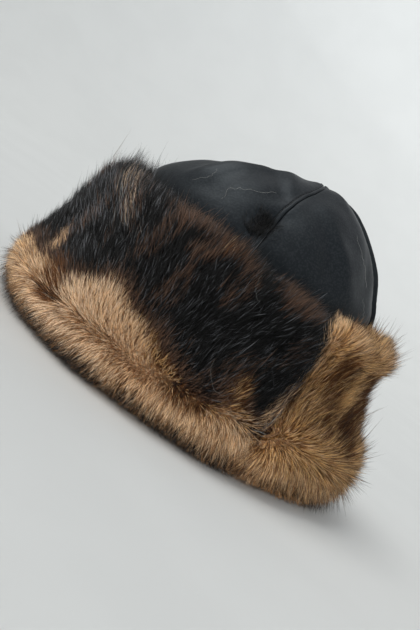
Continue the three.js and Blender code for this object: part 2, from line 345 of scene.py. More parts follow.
def edit(thing: Object, *steps: Callable[[], object]) -> None:
    """Runs edit-mode operators on the whole of a mesh.

    Args:
        thing: the mesh's object.
        steps: what to run, in order.
    """
    select_only(thing)
    bpy.ops.object.mode_set(mode="EDIT")
    bpy.ops.mesh.select_all(action="SELECT")
    for step in steps:
        step()
    bpy.ops.object.mode_set(mode="OBJECT")


def apply_modifiers(thing: Object) -> None:
    """Applies every modifier of an object, in order.

    Args:
        thing: the object.
    """
    select_only(thing)
    for modifier in list(thing.modifiers):
        bpy.ops.object.modifier_apply(modifier=modifier.name)


def new_object(name: str, data: bpy.types.ID) -> Object:
    """Puts a mesh, a light or a camera into the scene.

    Args:
        name: the new object's name.
        data: what it shows.

    Returns:
        The object.
    """
    thing = bpy.data.objects.new(name, data)
    bpy.context.collection.objects.link(thing)
    return thing


def mesh_of(name: str, points: Array, faces: Array) -> Object:
    """Makes a smooth-shaded mesh from arrays of points and triangles.

    Args:
        name: the new object's name.
        points: points in millimetres.
        faces: three point numbers for each triangle.

    Returns:
        The mesh's object, at the origin.
    """
    mesh = bpy.data.meshes.new(name)
    mesh.vertices.add(len(points))
    mesh.vertices.foreach_set("co", (points * MM).astype(np.float32).ravel())
    mesh.loops.add(faces.size)
    mesh.loops.foreach_set("vertex_index", faces.astype(np.int32).ravel())
    mesh.polygons.add(len(faces))
    mesh.polygons.foreach_set("loop_start", np.arange(0, faces.size, 3, dtype=np.int32))
    shade_smooth(mesh)
    mesh.update(calc_edges=True)
    return new_object(name, mesh)


def settle(piece: Object, finish: Material, stands_for: str = "") -> None:
    """Dresses a finished piece and ties it to the frame.

    Args:
        piece: the piece, whose place is in its mesh.
        finish: the piece's material.
        stands_for: the CAD node that it replaces, if any.
    """
    piece.data.materials.clear()
    piece.data.materials.append(finish)
    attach(piece, "root")
    if stands_for:
        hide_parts(stands_for)
    log.info("%s: %d faces", piece.name, len(piece.data.polygons))


class Nodes:
    """A node tree that is filled by short calls."""

    def __init__(self, tree: bpy.types.NodeTree) -> None:
        """Keeps the tree."""
        self.tree = tree

    def add(self, kind: str, **settings: object) -> bpy.types.Node:
        """Adds a node.

        Args:
            kind: the node's type, without the words that all types start with.
            settings: its properties.

        Returns:
            The node.
        """
        node = self.tree.nodes.new(kind if kind.startswith("NodeGroup") else "ShaderNode" + kind)
        for name, value in settings.items():
            setattr(node, name, value)
        return node

    def feed(self, node: bpy.types.Node, sources: dict[str | int, object]) -> Outputs:
        """Feeds some of a node's inputs.

        Args:
            node: the node.
            sources: a socket or a value for each input, by its name or number.

        Returns:
            The node's outputs.
        """
        for key, source in sources.items():
            if isinstance(source, Socket):
                self.tree.links.new(source, node.inputs[key])
            else:
                node.inputs[key].default_value = source
        return node.outputs

    def math(self, operation: str, first: object, second: object) -> Socket:
        """Works out a sum or a product of two sockets or numbers."""
        return self.feed(self.add("Math", operation=operation), {0: first, 1: second})[0]

    def between(
        self, value: object, low: float, high: float, to_low: float = 0, to_high: float = 1
    ) -> Socket:
        """Maps a value smoothly from one range to another.

        Args:
            value: the value's socket.
            low: the start of its range.
            high: the end of its range.
            to_low: the result at the start.
            to_high: the result at the end.

        Returns:
            The result.
        """
        node = self.add("MapRange", interpolation_type="SMOOTHSTEP")
        ends = {"From Min": low, "From Max": high, "To Min": to_low, "To Max": to_high}
        return self.feed(node, {"Value": value, **ends})["Result"]

    def mix(self, share: object, first: object, second: object) -> Socket:
        """Mixes two colours, where share is how much of the second shows."""
        return self.feed(self.add("Mix", data_type="RGBA"), {0: share, 6: first, 7: second})[2]

    def noise(self, place: object, scale: float, detail: float, roughness: float = 0.5) -> Socket:
        """Adds a noise pattern, with scale features to a metre."""
        settings = {"Vector": place, "Scale": scale, "Detail": detail, "Roughness": roughness}
        return self.feed(self.add("TexNoise"), settings)[0]

    def object_place(self) -> Socket:
        """The place on the object."""
        return self.add("TexCoord").outputs["Object"]

    def split(self, vector: object) -> Outputs:
        """Splits a vector into its X, Y and Z."""
        return self.feed(self.add("SeparateXYZ"), {0: vector})

    def group(self, tree: bpy.types.NodeTree, sources: dict[str, object]) -> Outputs:
        """Places a node group, feeds it and gives its outputs."""
        return self.feed(self.add("Group", node_tree=tree), sources)

    def bump(self, height: object, strength: float, distance: float) -> Socket:
        """Turns a height into a normal, with the bump's strength and its distance in metres."""
        settings = {"Height": height, "Strength": strength, "Distance": distance}
        return self.feed(self.add("Bump"), settings)["Normal"]


def new_group(name: str, takes: dict[str, str], gives: dict[str, str]) -> Nodes:
    """Starts a shader node group.

    Args:
        name: the group's name.
        takes: the kind of each of its inputs.
        gives: the kind of each of its outputs.

    Returns:
        A helper that fills it.
    """
    tree = bpy.data.node_groups.new(name, "ShaderNodeTree")
    for way, sockets in (("INPUT", takes), ("OUTPUT", gives)):
        for socket, kind in sockets.items():
            tree.interface.new_socket(socket, in_out=way, socket_type="NodeSocket" + kind)
    return Nodes(tree)


def new_material(name: str) -> tuple[Material, Nodes, bpy.types.Node]:
    """Starts a material with one principled shader.

    Args:
        name: the material's name.

    Returns:
        The material, a helper that fills it, and the shader.
    """
    material = bpy.data.materials.new(name)
    material.use_nodes = True
    material.node_tree.nodes.clear()
    nodes = Nodes(material.node_tree)
    shader = nodes.add("BsdfPrincipled")
    nodes.feed(nodes.add("OutputMaterial"), {"Surface": shader.outputs["BSDF"]})
    return material, nodes, shader


class Hair(Enum):
    """The kinds of hair on the hat, in their order on the palette."""

    BLACK = 0
    # Black hair whose tip is painted pale, as a painted glint.
    PAINTED_GLINT = 1
    RUSSET = 2
    BROWN = 3
    TAN = 4
    PALE = 5
    GOLD = 6
    TIPPED = 7
    LOOSE = 8

    @property
    def place(self) -> float:
        """The middle of the kind's band on the palette."""
        return (self.value + 0.5) / len(Hair)


@dataclass(frozen=True)
class HairColour:
    """One kind of hair: its colour at the root, along its middle and at the tip."""

    kind: Hair
    root: Colour
    middle: Colour
    tip: Colour


HAIR_COLOURS = table(
    HairColour,
    (Hair.BLACK, (11, 10, 9), (16, 16, 15), (22, 22, 22)),
    # This kind's pale tip is a painted glint.
    (Hair.PAINTED_GLINT, (16, 16, 16), (30, 31, 33), (134, 136, 140)),
    (Hair.RUSSET, (36, 26, 20), (98, 71, 55), (106, 82, 66)),
    (Hair.BROWN, (58, 35, 20), (114, 72, 37), (86, 54, 29)),
    (Hair.TAN, (184, 138, 94), (242, 200, 152), (248, 210, 166)),
    (Hair.PALE, (202, 160, 120), (246, 213, 175), (250, 221, 188)),
    (Hair.GOLD, (140, 98, 54), (220, 170, 108), (232, 190, 132)),
    (Hair.TIPPED, (178, 134, 92), (168, 126, 86), (18, 15, 13)),
    (Hair.LOOSE, (116, 116, 112), (140, 140, 136), (150, 150, 146)),
)


def palette_places(kinds: Array | int, count: int, rng: Chance) -> Array:
    """Turns the kinds of some hairs into places on the palette, each anywhere in its kind's band."""
    return (kinds + 0.5) / len(Hair) + rng.uniform(-PALETTE_BAND, PALETTE_BAND, count)


def paint(kinds: Array, *layers: tuple[Array, Hair]) -> Array:
    """Lays further kinds of hair over the first ones.

    Args:
        kinds: the first kinds, one for each place.
        layers: in order, the places that take a kind, and that kind.

    Returns:
        The kinds that show.
    """
    for taken, kind in layers:
        kinds = np.where(taken, kind.value, kinds)
    return kinds


@dataclass(frozen=True)
class FurFinish:
    """The hair's finish. A hair's map holds its place on the palette, and how far along it a point is."""

    name: str
    roughness: float = 0.44
    specular: float = 0.2
    darker: float = 0.68  # the first edge of a kind's band, against its own colour
    lighter: float = 1.4  # the last edge
    middle_from: float = 0.05
    middle_to: float = 0.5
    tip_from: float = 0.5
    tip_to: float = 0.85

    def ramp(self, nodes: Nodes, tone: object, part: str) -> Socket:
        """Adds the colours of one part of the hairs, along the palette.

        Args:
            nodes: the helper that adds them.
            tone: the place on the palette.
            part: root, middle or tip.

        Returns:
            The colour.
        """
        node = nodes.add("ValToRGB")
        stops = node.color_ramp.elements
        while len(stops) < 2 * len(HAIR_COLOURS):
            stops.new(0.5)
        for index, row in enumerate(HAIR_COLOURS):
            colour = np.array(linear(getattr(row, part)))
            for side, gain in ((0, self.darker), (1, min(self.lighter, 1 / colour[:3].max()))):
                stop = stops[2 * index + side]
                stop.position = row.kind.place + (2 * side - 1) * PALETTE_BAND
                stop.color = (*(colour[:3] * gain), 1)
        return nodes.feed(node, {"Fac": tone})["Color"]

    def group(self) -> bpy.types.NodeTree:
        """Builds the hair's colours as a group.

        Returns:
            The group, which takes Tone and Along and gives Colour.
        """
        nodes = new_group("hair_colour", {"Tone": "Float", "Along": "Float"}, {"Colour": "Color"})
        inside = nodes.add("NodeGroupInput").outputs
        root, middle, tip = (self.ramp(nodes, inside["Tone"], part) for part in ("root", "middle", "tip"))
        colour = nodes.mix(nodes.between(inside["Along"], self.middle_from, self.middle_to), root, middle)
        colour = nodes.mix(nodes.between(inside["Along"], self.tip_from, self.tip_to), colour, tip)
        nodes.feed(nodes.add("NodeGroupOutput"), {"Colour": colour})
        return nodes.tree

    def build(self) -> Material:
        """Builds the material.

        Returns:
            The material.
        """
        material, nodes, shader = new_material(self.name)
        place = nodes.split(nodes.add("UVMap", uv_map=HAIR_MAP).outputs[0])
        colour = nodes.group(self.group(), {"Tone": place["X"], "Along": place["Y"]})["Colour"]
        gloss = {"Roughness": self.roughness, "Specular IOR Level": self.specular}
        nodes.feed(shader, {"Base Color": colour, **gloss})
        return material


@dataclass(frozen=True)
class LeatherFinish:
    """Soft black nappa: fine pebbled grain, a cloudy painted light over the top with painted shade lower
    down, and a rub along raised edges that is partly a painted highlight.
    """

    name: str
    # deep is the leather painted as in shade, low down, and light is the leather painted as lit, over the
    # top.
    deep: Colour = (16, 17, 19)
    light: Colour = (14, 17, 21)
    # The next colour is for rub wear and painted highlights along the seams and crests, and for the tops of
    # the grain.
    rubbed_and_highlight: Colour = (50, 52, 54)
    painted_light_from: float = 128.0  # the height above which painted light turns the leather towards its light colour
    painted_light_to: float = 186.0
    painted_light_below: float = 0.15  # the share of that painted light lower down
    grain_size: float = 1.4  # mm
    grain_depth: float = 0.12  # mm
    grain_top_lightening: float = 0.35  # how much lighter the tops of the grain are
    crease_depth: float = 0.16  # mm
    crease_scale: float = 150.0  # to a metre
    cloud_scale: float = 34.0
    relief: float = 0.7
    rough_low: float = 0.46
    rough_high: float = 0.56
    specular: float = 0.24
    sheen: tuple[float, float, float] = (0.74, 0.9, 1.0)

    def grain_group(self) -> bpy.types.NodeTree:
        """Builds the leather's grain as a group.

        Returns:
            The group, which gives Height in metres, Cloud, and Pebble, which is 1 on top of each grain.
        """
        gives = {"Height": "Float", "Cloud": "Float", "Pebble": "Float"}
        nodes = new_group("leather_grain", {"Place": "Vector"}, gives)
        place = nodes.add("NodeGroupInput").outputs["Place"]
        cells = nodes.add("TexVoronoi", feature="SMOOTH_F1")
        distance = nodes.feed(cells, {"Vector": place, "Scale": 1 / (self.grain_size * MM)})["Distance"]
        pebble = nodes.math("MULTIPLY", distance, -self.grain_depth * MM)
        creases = nodes.noise(place, self.crease_scale, 4.0, 0.55)
        crease = nodes.math("MULTIPLY", creases, self.crease_depth * MM)
        results = {
            "Height": nodes.math("ADD", pebble, crease),
            "Cloud": nodes.noise(place, self.cloud_scale, 3.0),
            "Pebble": nodes.between(distance, 0.1, 0.6, 1, 0),
        }
        nodes.feed(nodes.add("NodeGroupOutput"), results)
        return nodes.tree

    def build(self) -> Material:
        """Builds the material.

        Returns:
            The material.
        """
        material, nodes, shader = new_material(self.name)
        place = nodes.object_place()
        grain = nodes.group(self.grain_group(), {"Place": place})
        cloud, height = grain["Cloud"], nodes.split(place)["Z"]
        # Painted light: the colour runs from deep, as in shade low down, towards light, as lit over the
        # top, mottled by the cloud.
        upper = nodes.between(height, self.painted_light_from * MM, self.painted_light_to * MM, self.painted_light_below)
        painted_light_share = nodes.math("MULTIPLY", upper, nodes.between(cloud, 0.2, 0.8, 0.75))
        colour = nodes.mix(painted_light_share, linear(self.deep), linear(self.light))
        topped = nodes.math("MULTIPLY", grain["Pebble"], self.grain_top_lightening)
        colour = nodes.mix(topped, colour, linear(self.rubbed_and_highlight))
        # Rub wear beside the seams and on the strips, partly a painted highlight, and a painted highlight
        # along the front's crests.
        wear_and_highlight = nodes.add("Attribute", attribute_name=EDGE_WEAR_AND_HIGHLIGHT).outputs["Fac"]
        worn_and_highlit = nodes.math("MULTIPLY", wear_and_highlight, nodes.between(cloud, 0.35, 0.6, 0.25, 0.8))
        polish = nodes.between(cloud, 0.3, 0.7)
        settings = {
            "Base Color": nodes.mix(worn_and_highlit, colour, linear(self.rubbed_and_highlight)),
            "Roughness": nodes.between(polish, 0, 1, self.rough_high, self.rough_low),
            "Specular IOR Level": self.specular,
            "Specular Tint": (*self.sheen, 1),
            "Normal": nodes.bump(grain["Height"], self.relief, 1.0),
        }
        nodes.feed(shader, settings)
        return material


@dataclass(frozen=True)
class ThreadFinish:
    """Waxed black thread with a twisted ply."""

    name: str
    dark: Colour = (14, 15, 17)
    light: Colour = (38, 40, 43)
    rough_low: float = 0.42
    rough_high: float = 0.6
    ply_scale: float = 2600.0  # to a metre
    ply_depth: float = 0.1  # mm

    def build(self) -> Material:
        """Builds the material.

        Returns:
            The material.
        """
        material, nodes, shader = new_material(self.name)
        ply = nodes.between(nodes.noise(nodes.object_place(), self.ply_scale, 2.0), 0.35, 0.65)
        settings = {
            "Base Color": nodes.mix(ply, linear(self.dark), linear(self.light)),
            "Roughness": nodes.between(ply, 0, 1, self.rough_high, self.rough_low),
            "Normal": nodes.bump(ply, 1.0, self.ply_depth * MM),
        }
        nodes.feed(shader, settings)
        return material


@dataclass(frozen=True)
class BackdropFinish:
    """Pale matt paint with a faint mottle."""

    name: str
    shade: Colour = (212, 214, 213)
    mottle: Colour = (210, 212, 211)
    mottle_scale: float = 9.0  # to a metre
    roughness: float = 0.9
    specular: float = 0.1

    def build(self) -> Material:
        """Builds the material.

        Returns:
            The material.
        """
        material, nodes, shader = new_material(self.name)
        share = nodes.between(nodes.noise(nodes.object_place(), self.mottle_scale, 4.0), 0.35, 0.65)
        colour = nodes.mix(share, linear(self.mottle), linear(self.shade))
        gloss = {"Roughness": self.roughness, "Specular IOR Level": self.specular}
        nodes.feed(shader, {"Base Color": colour, **gloss})
        return material


@dataclass(frozen=True)
class Gore:
    """One of the crown's four gores, and how high the strips stand along the seams at its start and end."""

    name: str
    start: float
    start_strip: float
    end_strip: float


GORES = table(
    Gore,
    ("crown_gore_rear_right", 0, 0, 0),
    ("crown_gore_front_right", 90, 0.3, 0),
    ("crown_gore_front_left", 180, 0.3, 0.3),
    ("crown_gore_rear_left", 270, 0, 2.3),
)


@dataclass(frozen=True)
class SeamSwing:
    """How far the side seams swing forward at a station of the crown, in degrees."""

    station: float
    turn: float


SEAM_SWINGS = table(
    SeamSwing,
    (0, -1.6), (3.5, -1.6), (4.3, -1.3), (5, 0), (6, 1.6), (7, 4.9), (8, 10.5), (9, 20), (10, 20),
)


@dataclass
class Crown:
    """The leather crown: four gores with rolled seam edges, stitched strips, puckers and soft folds."""

    wall: float = 1.7
    seam_dip: float = 2.6  # how far the seams pull the leather in
    seam_pull: float = 17.0  # over which they do
    valley_depth: float = 4.4  # further in beside the middle seam, over the front
    valley_width: float = 24.0
    crest_height: float = 4.4  # of the fold up the middle of each front gore
    crest_width: float = 5.5  # degrees
    # how strong a highlight is painted along each front crest
    painted_crest_highlight: float = 0.55
    apex_dip: float = 1.6  # how far the stitching pulls the top down
    strip_width: float = 3.7
    strip_taper: float = 1.1  # how much narrower it is at the top
    edge_roll: float = 0.9  # how deep a gore's edge turns down into its seam
    edge_round: float = 0.55  # over which it does
    groove_place: float = 1.03  # of the stitches, across the strip's width
    groove_depth: float = 1.0  # where they pull the leather down
    groove_width: float = 0.5
    pucker_height: float = 0.24
    pucker_length: float = 6.5
    pucker_reach: float = 7.0
    wrinkle: float = 0.55
    stitch_length: float = 2.5
    stitch_pitch: float = 3.5
    stitch_thickness: float = 0.5
    stitch_sink: float = 0.2  # into the leather
    stitches_from: float = 2.3  # the station where the stitching starts to show
    station_run: float = 18.0  # the rough distance between two stations
    near_seam: tuple[float, ...] = (
        0, 0.3, 0.65, 1.1, 1.7, 2.3, 2.7, 3.05, 3.4, 3.75, 4.1, 4.6, 5.6, 8, 11.5,
    )  # how far from a seam the columns of points beside it lie
    middle_columns: int = 16
    low_rows: int = 5
    rows: int = 56

    def point(self, angles: Array, stations: Array) -> Array:
        """Points of the crown's plain outside."""
        forward = read_straight(SEAM_SWINGS, "station", "turn", stations)
        return oval(read_between(CROWN_SECTIONS, stations), angles + forward * np.sin(np.radians(angles)))

    def relief(self, angles: Array, stations: Array) -> Array:
        """How far the leather stands off the plain outside, by the pull of its seams and by its folds.

        Args:
            angles: the places' angles.
            stations: the places' stations.

        Returns:
            The height of each place in millimetres.
        """
        points = self.point(angles, stations)
        seam = np.round(angles / 90) * 90
        from_seam = np.linalg.norm(points - self.point(seam, stations), axis=-1)
        rearward = np.cos(np.radians(seam))
        rear = np.maximum(0, rearward) * smooth(stations, 9, 7)
        height = -self.seam_dip * (1 - 0.1 * rear) * hill(from_seam, self.seam_pull)
        front = np.maximum(0, -rearward) * smooth(stations, 3.4, 5) * smooth(stations, 9.6, 8)
        height -= front * self.valley_depth * hill(from_seam, self.valley_width)
        crest = hill(np.abs(angles % 360 - 180) - 45, self.crest_width) * smooth(stations, 3.2, 4.4)
        at_apex = self.apex_dip * smooth(stations, 9, 10)
        height += self.crest_height * crest * smooth(stations, 8.5, 6) - at_apex
        free = smooth(stations, 2.6, 4)
        for fold in CROWN_FOLDS:
            place = np.array([fold.angle]), np.array([fold.station])
            skin, away = skin_of(self.point, *place), points - self.point(*place)[0]
            normal, level = skin.normal[0], skin.around[0]
            lean = math.radians(fold.lean)
            along = math.cos(lean) * level + math.sin(lean) * np.cross(normal, level)
            reach = (away @ along / fold.length) ** 2 + (away @ np.cross(along, normal) / fold.width) ** 2
            height += free * fold.rise * np.exp(-reach - (away @ normal / fold.length) ** 2)
        return height

    def half_width(self, gore: Gore, stations: Array) -> Array:
        """Half of a gore's width at each station."""
        middle = np.full(len(stations), gore.start + 45.0)
        return 45 * skin_of(self.point, middle, np.maximum(stations, 0.05)).per_degree

    def strip_at(self, stations: Array, half: Array) -> Array:
        """How wide the strip is at each station, where half a gore has the given widths."""
        return np.minimum(self.strip_width - self.strip_taper * smooth(stations, 3, 7), half / 3)

    def seam_detail(self, distance: Array, run: Array, strip: Array, rise: float) -> Array:
        """The shape of the leather beside a seam.

        Args:
            distance: how far each place is from the seam.
            run: how far along the seam it is.
            strip: the strip's width there.
            rise: how high a stitched strip stands on this side, or 0 where there is none.

        Returns:
            The height that is added at each place.
        """
        height = -self.edge_roll * hill(distance, self.edge_round)
        wave = np.sin(run * math.tau / self.pucker_length + 1.7 * np.sin(run / 11))
        wave *= 0.65 + 0.35 * np.sin(run / 5.3)
        if rise:
            fuller = 1 + 0.5 * smooth(run, 130, 90) * (rise > 1)
            raised = rise * fuller * smooth(run, 176, 150)
            height += raised * (1 - smooth(distance / strip, 0.93, 1.12)) * smooth(distance, -0.4, 0.7)
            height -= self.groove_depth * hill(distance - self.groove_place * strip, self.groove_width)
            fading = hill(distance - strip, self.pucker_reach) * smooth(distance, 1, 4)
        else:
            fading = hill(distance, self.pucker_reach) * smooth(distance, 0, 2)
        return height + self.pucker_height * wave * fading

    def build_gore(self, gore: Gore) -> Object:
        """Builds one gore as a thin wall.

        Args:
            gore: which one.

        Returns:
            Its object.
        """
        low, high = np.linspace(0, 2, self.low_rows + 1), np.linspace(2, CROWN_TOP, self.rows + 1)
        levels = np.concatenate([low[:-1], high])
        across = np.array(self.near_seam)
        columns = 2 * len(across) + self.middle_columns

        def place(column: Array, row: Array) -> Array:
            """Places the points of the gore's outside.

            Args:
                column: their column numbers, across the gore.
                row: their row numbers, up it.

            Returns:
                The points.
            """
            station = levels[row]
            half = self.half_width(gore, station)
            near = np.minimum(1, 0.62 * half / across[-1])
            first, last = column < len(across), column >= columns - len(across)
            offset = across[np.select((first, last), (column, columns - 1 - column), 0)] * near
            inner = across[-1] * near
            share = (column - len(across) + 1) / (self.middle_columns + 1)
            between = inner + (2 * half - 2 * inner) * share
            distance = np.select((first, last), (offset, 2 * half - offset), between)
            angles = gore.start + 45 * distance / half
            normal = skin_of(self.point, angles, np.clip(station, 0.05, CROWN_TOP - 0.05)).normal
            at_apex = smooth(station, CROWN_TOP - 0.6, CROWN_TOP)[:, None]
            normal = unit(normal * (1 - at_apex) + np.array([0, 0, 1.0]) * at_apex)
            points = self.point(angles, station)
            height = self.relief(angles, station)
            run, strip = station * self.station_run, self.strip_at(station, half)
            height += self.seam_detail(distance, run, strip, gore.start_strip)
            height += self.seam_detail(2 * half - distance, run, strip, gore.end_strip)
            loose = smooth(station, 2.2, 3.2) * smooth(np.minimum(distance, 2 * half - distance), 2, 14)
            folds = drift(points * (1, 1, 0.4), 20, 5) + 0.35 * drift(points * (1, 1, 0.6), 9, 6)
            height += self.wrinkle * loose * folds
            return points + normal * height[:, None]

        shell = wrapped_grid(gore.name.replace("crown", "leather"), columns, len(levels), place)
        self.mark_wear_and_highlight(shell, gore, levels)
        wall = shell.modifiers.new("wall", "SOLIDIFY")
        wall.thickness = self.wall * MM
        wall.offset = -1
        apply_modifiers(shell)
        shade_smooth(shell.data)
        return shell

    def mark_wear_and_highlight(self, shell: Object, gore: Gore, levels: Array) -> None:
        """Marks where the leather is rubbed, on its strips and beside its seams, which also paints a
        highlight there, and where a highlight is painted along the front's crests.

        Args:
            shell: the gore's grid.
            gore: which gore.
            levels: the station of each of its rows.
        """
        across = np.array(self.near_seam)
        stitched, plain = hill(across - 2.4, 1.6), hill(across - 1.6, 1.0) * 0.6
        start, end = (stitched if strip else plain for strip in (gore.start_strip, gore.end_strip))
        # Along the front's crests the mark is only a painted highlight.
        crest_highlight_share = self.painted_crest_highlight if 45 < gore.start < 225 else 0
        crest = hill(np.linspace(-0.5, 0.5, self.middle_columns), 0.12) * crest_highlight_share
        high = (smooth(levels, 3.2, 4.6) * smooth(levels, 9, 6.5))[:, None]
        first, last = (np.tile(part, (len(levels), 1)) for part in (start, end[::-1]))
        wear_and_highlight = shell.data.attributes.new(EDGE_WEAR_AND_HIGHLIGHT, "FLOAT", "POINT")
        wear_and_highlight.data.foreach_set("value", np.hstack([first, crest * high, last]).astype(np.float32).ravel())

    def build_stitches(self) -> Object:
        """Builds all the stitches that show, along the outer edge of each strip.

        Returns:
            One object with a short capsule for each stitch.
        """
        sides, rings = 6, ((-0.5, 0.35), (-0.38, 1.0), (0.38, 1.0), (0.5, 0.35))
        turns = np.arange(sides) * math.tau / sides
        spokes = [np.array([math.cos(turn), math.sin(turn)]) * self.stitch_thickness / 2 for turn in turns]
        template = np.array(
            [(along * self.stitch_length, *(spoke * width)) for along, width in rings for spoke in spokes]
        )
        faces = []
        for ring in range(len(rings) - 1):
            for side in range(sides):
                a, b = ring * sides + side, ring * sides + (side + 1) % sides
                faces += [(a, b, b + sides), (a, b + sides, a + sides)]
        top = (len(rings) - 1) * sides
        for side in range(1, sides - 1):
            faces += [(0, side + 1, side), (top, top + side, top + side + 1)]
        points = []
        for gore in GORES:
            for at_end, rise in ((False, gore.start_strip), (True, gore.end_strip)):
                for middle, along, out in self.stitch_places(gore, at_end) if rise else ():
                    points.append(middle + template @ np.stack([along, np.cross(out, along), out]))
        triangles = np.array(faces)[None] + len(template) * np.arange(len(points))[:, None, None]
        return mesh_of("crown_stitches", np.concatenate(points), triangles.reshape(-1, 3))

    def stitch_places(self, gore: Gore, at_end: bool) -> list[tuple[Array, Array, Array]]:
        """Where the stitches of one strip lie.

        Args:
            gore: the gore that the strip is on.
            at_end: whether it is on the seam that the gore ends at.

        Returns:
            The middle, direction and outward direction of each stitch.
        """
        stations = np.linspace(self.stitches_from, CROWN_TOP - 0.7, 600)
        half = self.half_width(gore, stations)
        turn = 45 * (self.groove_place * self.strip_at(stations, half)) / half
        angles = gore.start + (90 - turn if at_end else turn)
        normal = skin_of(self.point, angles, stations).normal
        height = self.relief(angles, stations) - self.stitch_sink
        path = self.point(angles, stations) + normal * height[:, None]
        length = np.concatenate([[0], np.cumsum(np.linalg.norm(np.diff(path, axis=0), axis=1))])
        places = []
        for middle in np.arange(self.stitch_pitch, length[-1] - self.stitch_pitch, self.stitch_pitch):
            index = int(np.searchsorted(length, middle))
            along = unit(path[min(index + 2, len(path) - 1)] - path[index - 2])
            places.append((path[index], along, unit(normal[index] - along * (normal[index] @ along))))
        return places

    def build(self) -> None:
        """Builds the gores and the stitches, and dresses them."""
        leather = LeatherFinish("black_nappa").build()
        for gore in GORES:
            settle(self.build_gore(gore), leather, gore.name)
        settle(self.build_stitches(), ThreadFinish("black_thread").build())


@dataclass(frozen=True)
class Mark:
    """A patch of one kind of hair, turned from upright towards the rear. It takes a share of the hairs."""

    kind: Hair
    angle: float
    height: float
    length: float
    width: float
    turn: float
    share: float


FRONT_MARKS = table(
    Mark,
    (Hair.RUSSET, 222, 112, 32, 10, 117, 0.34), (Hair.LOOSE, 221, 110, 32, 8, 117, 0.14),
    (Hair.PALE, 219, 114, 24, 4, 117, 0.22), (Hair.RUSSET, 216, 60, 14, 8, -40, 0.6),
    (Hair.TAN, 216, 58, 12, 6, -40, 0.45), (Hair.RUSSET, 233, 48, 10, 7, 60, 0.5),
    (Hair.BROWN, 229, 42, 12, 13, 30, 0.75), (Hair.BROWN, 230, 31, 18, 7, 84, 0.9),
    (Hair.BLACK, 230, 31, 13, 4.5, 84, 0.4), (Hair.TIPPED, 262, 27, 60, 6, 90, 0.3),
    (Hair.RUSSET, 254, 128, 28, 8, 90, 0.75), (Hair.RUSSET, 272, 122, 16, 7, 90, 0.75),
    (Hair.RUSSET, 262, 112, 12, 5, 90, 0.6), (Hair.BROWN, 268, 124, 8, 5, 90, 0.4),
    (Hair.BLACK, 266, 134, 9, 8, 90, 0.8), (Hair.TAN, 268, 124, 6, 4, 90, 0.12),
    (Hair.RUSSET, 302, 120, 18, 7, 90, 0.75), (Hair.BROWN, 283, 32, 16, 8, 80, 0.6),
    (Hair.BROWN, 295, 52, 11, 8, 0, 0.7), (Hair.GOLD, 295, 51, 8, 6, 0, 0.3),
    (Hair.PALE, 299, 34, 14, 12, 90, 0.25), (Hair.BLACK, 302, 52, 6, 3.5, 40, 0.8),
    (Hair.RUSSET, 307, 53, 24, 5, 25, 0.75), (Hair.TAN, 306, 53, 20, 3.5, 25, 0.4),
    # The last two marks lay painted glints over the black at the front.
    (Hair.LOOSE, 307, 53, 20, 3, 25, 0.12), (Hair.PAINTED_GLINT, 226, 84, 34, 26, 10, 0.05),
    (Hair.PAINTED_GLINT, 214, 100, 34, 26, 10, 0.16),
)
REAR_MARKS = table(
    Mark,
    (Hair.BROWN, 325, 90, 26, 4.5, 6, 0.8), (Hair.BROWN, 328, 103, 8, 6, 60, 0.7),
    (Hair.GOLD, 336, 84, 22, 5, 14, 0.9), (Hair.BROWN, 350, 88, 24, 15, 10, 0.92),
    (Hair.BROWN, 338, 66, 9, 11, 80, 0.92), (Hair.BROWN, 343, 67, 17, 9, 20, 0.95),
    (Hair.BLACK, 341, 64, 15, 7, 10, 0.3), (Hair.BLACK, 334, 97, 12, 6, 30, 0.25),
    (Hair.TAN, 328, 122, 7, 20, 0, 0.6), (Hair.TAN, 352, 118, 7, 20, 0, 0.35),
    (Hair.BROWN, 2, 124, 8, 9, 0, 0.6),
)


@dataclass(frozen=True)
class BorderPoint:
    """How high the front cuff's tan band reaches at an angle."""

    angle: float
    height: float


TAN_BORDER = table(
    BorderPoint,
    (180, 40), (195, 42), (212, 45), (227, 46), (232, 49), (238, 56), (243, 63), (248, 66), (252, 63),
    (257, 59), (263, 53), (270, 45), (276, 40), (282, 36), (288, 36), (293, 41), (301, 45), (307, 38),
    (312, 34),
)


@dataclass
class Lean:
    """How far the hair leans towards the rear from upright at an angle, in degrees."""

    angle: float
    lean: float


FRONT_LEAN = table(
    Lean,
    (180, 0), (205, -12), (225, -18), (245, -4), (262, 12), (285, 18), (315, 20), (360, 0),
)
REAR_LEAN = table(Lean, (290, 4), (330, 2), (360, 0))


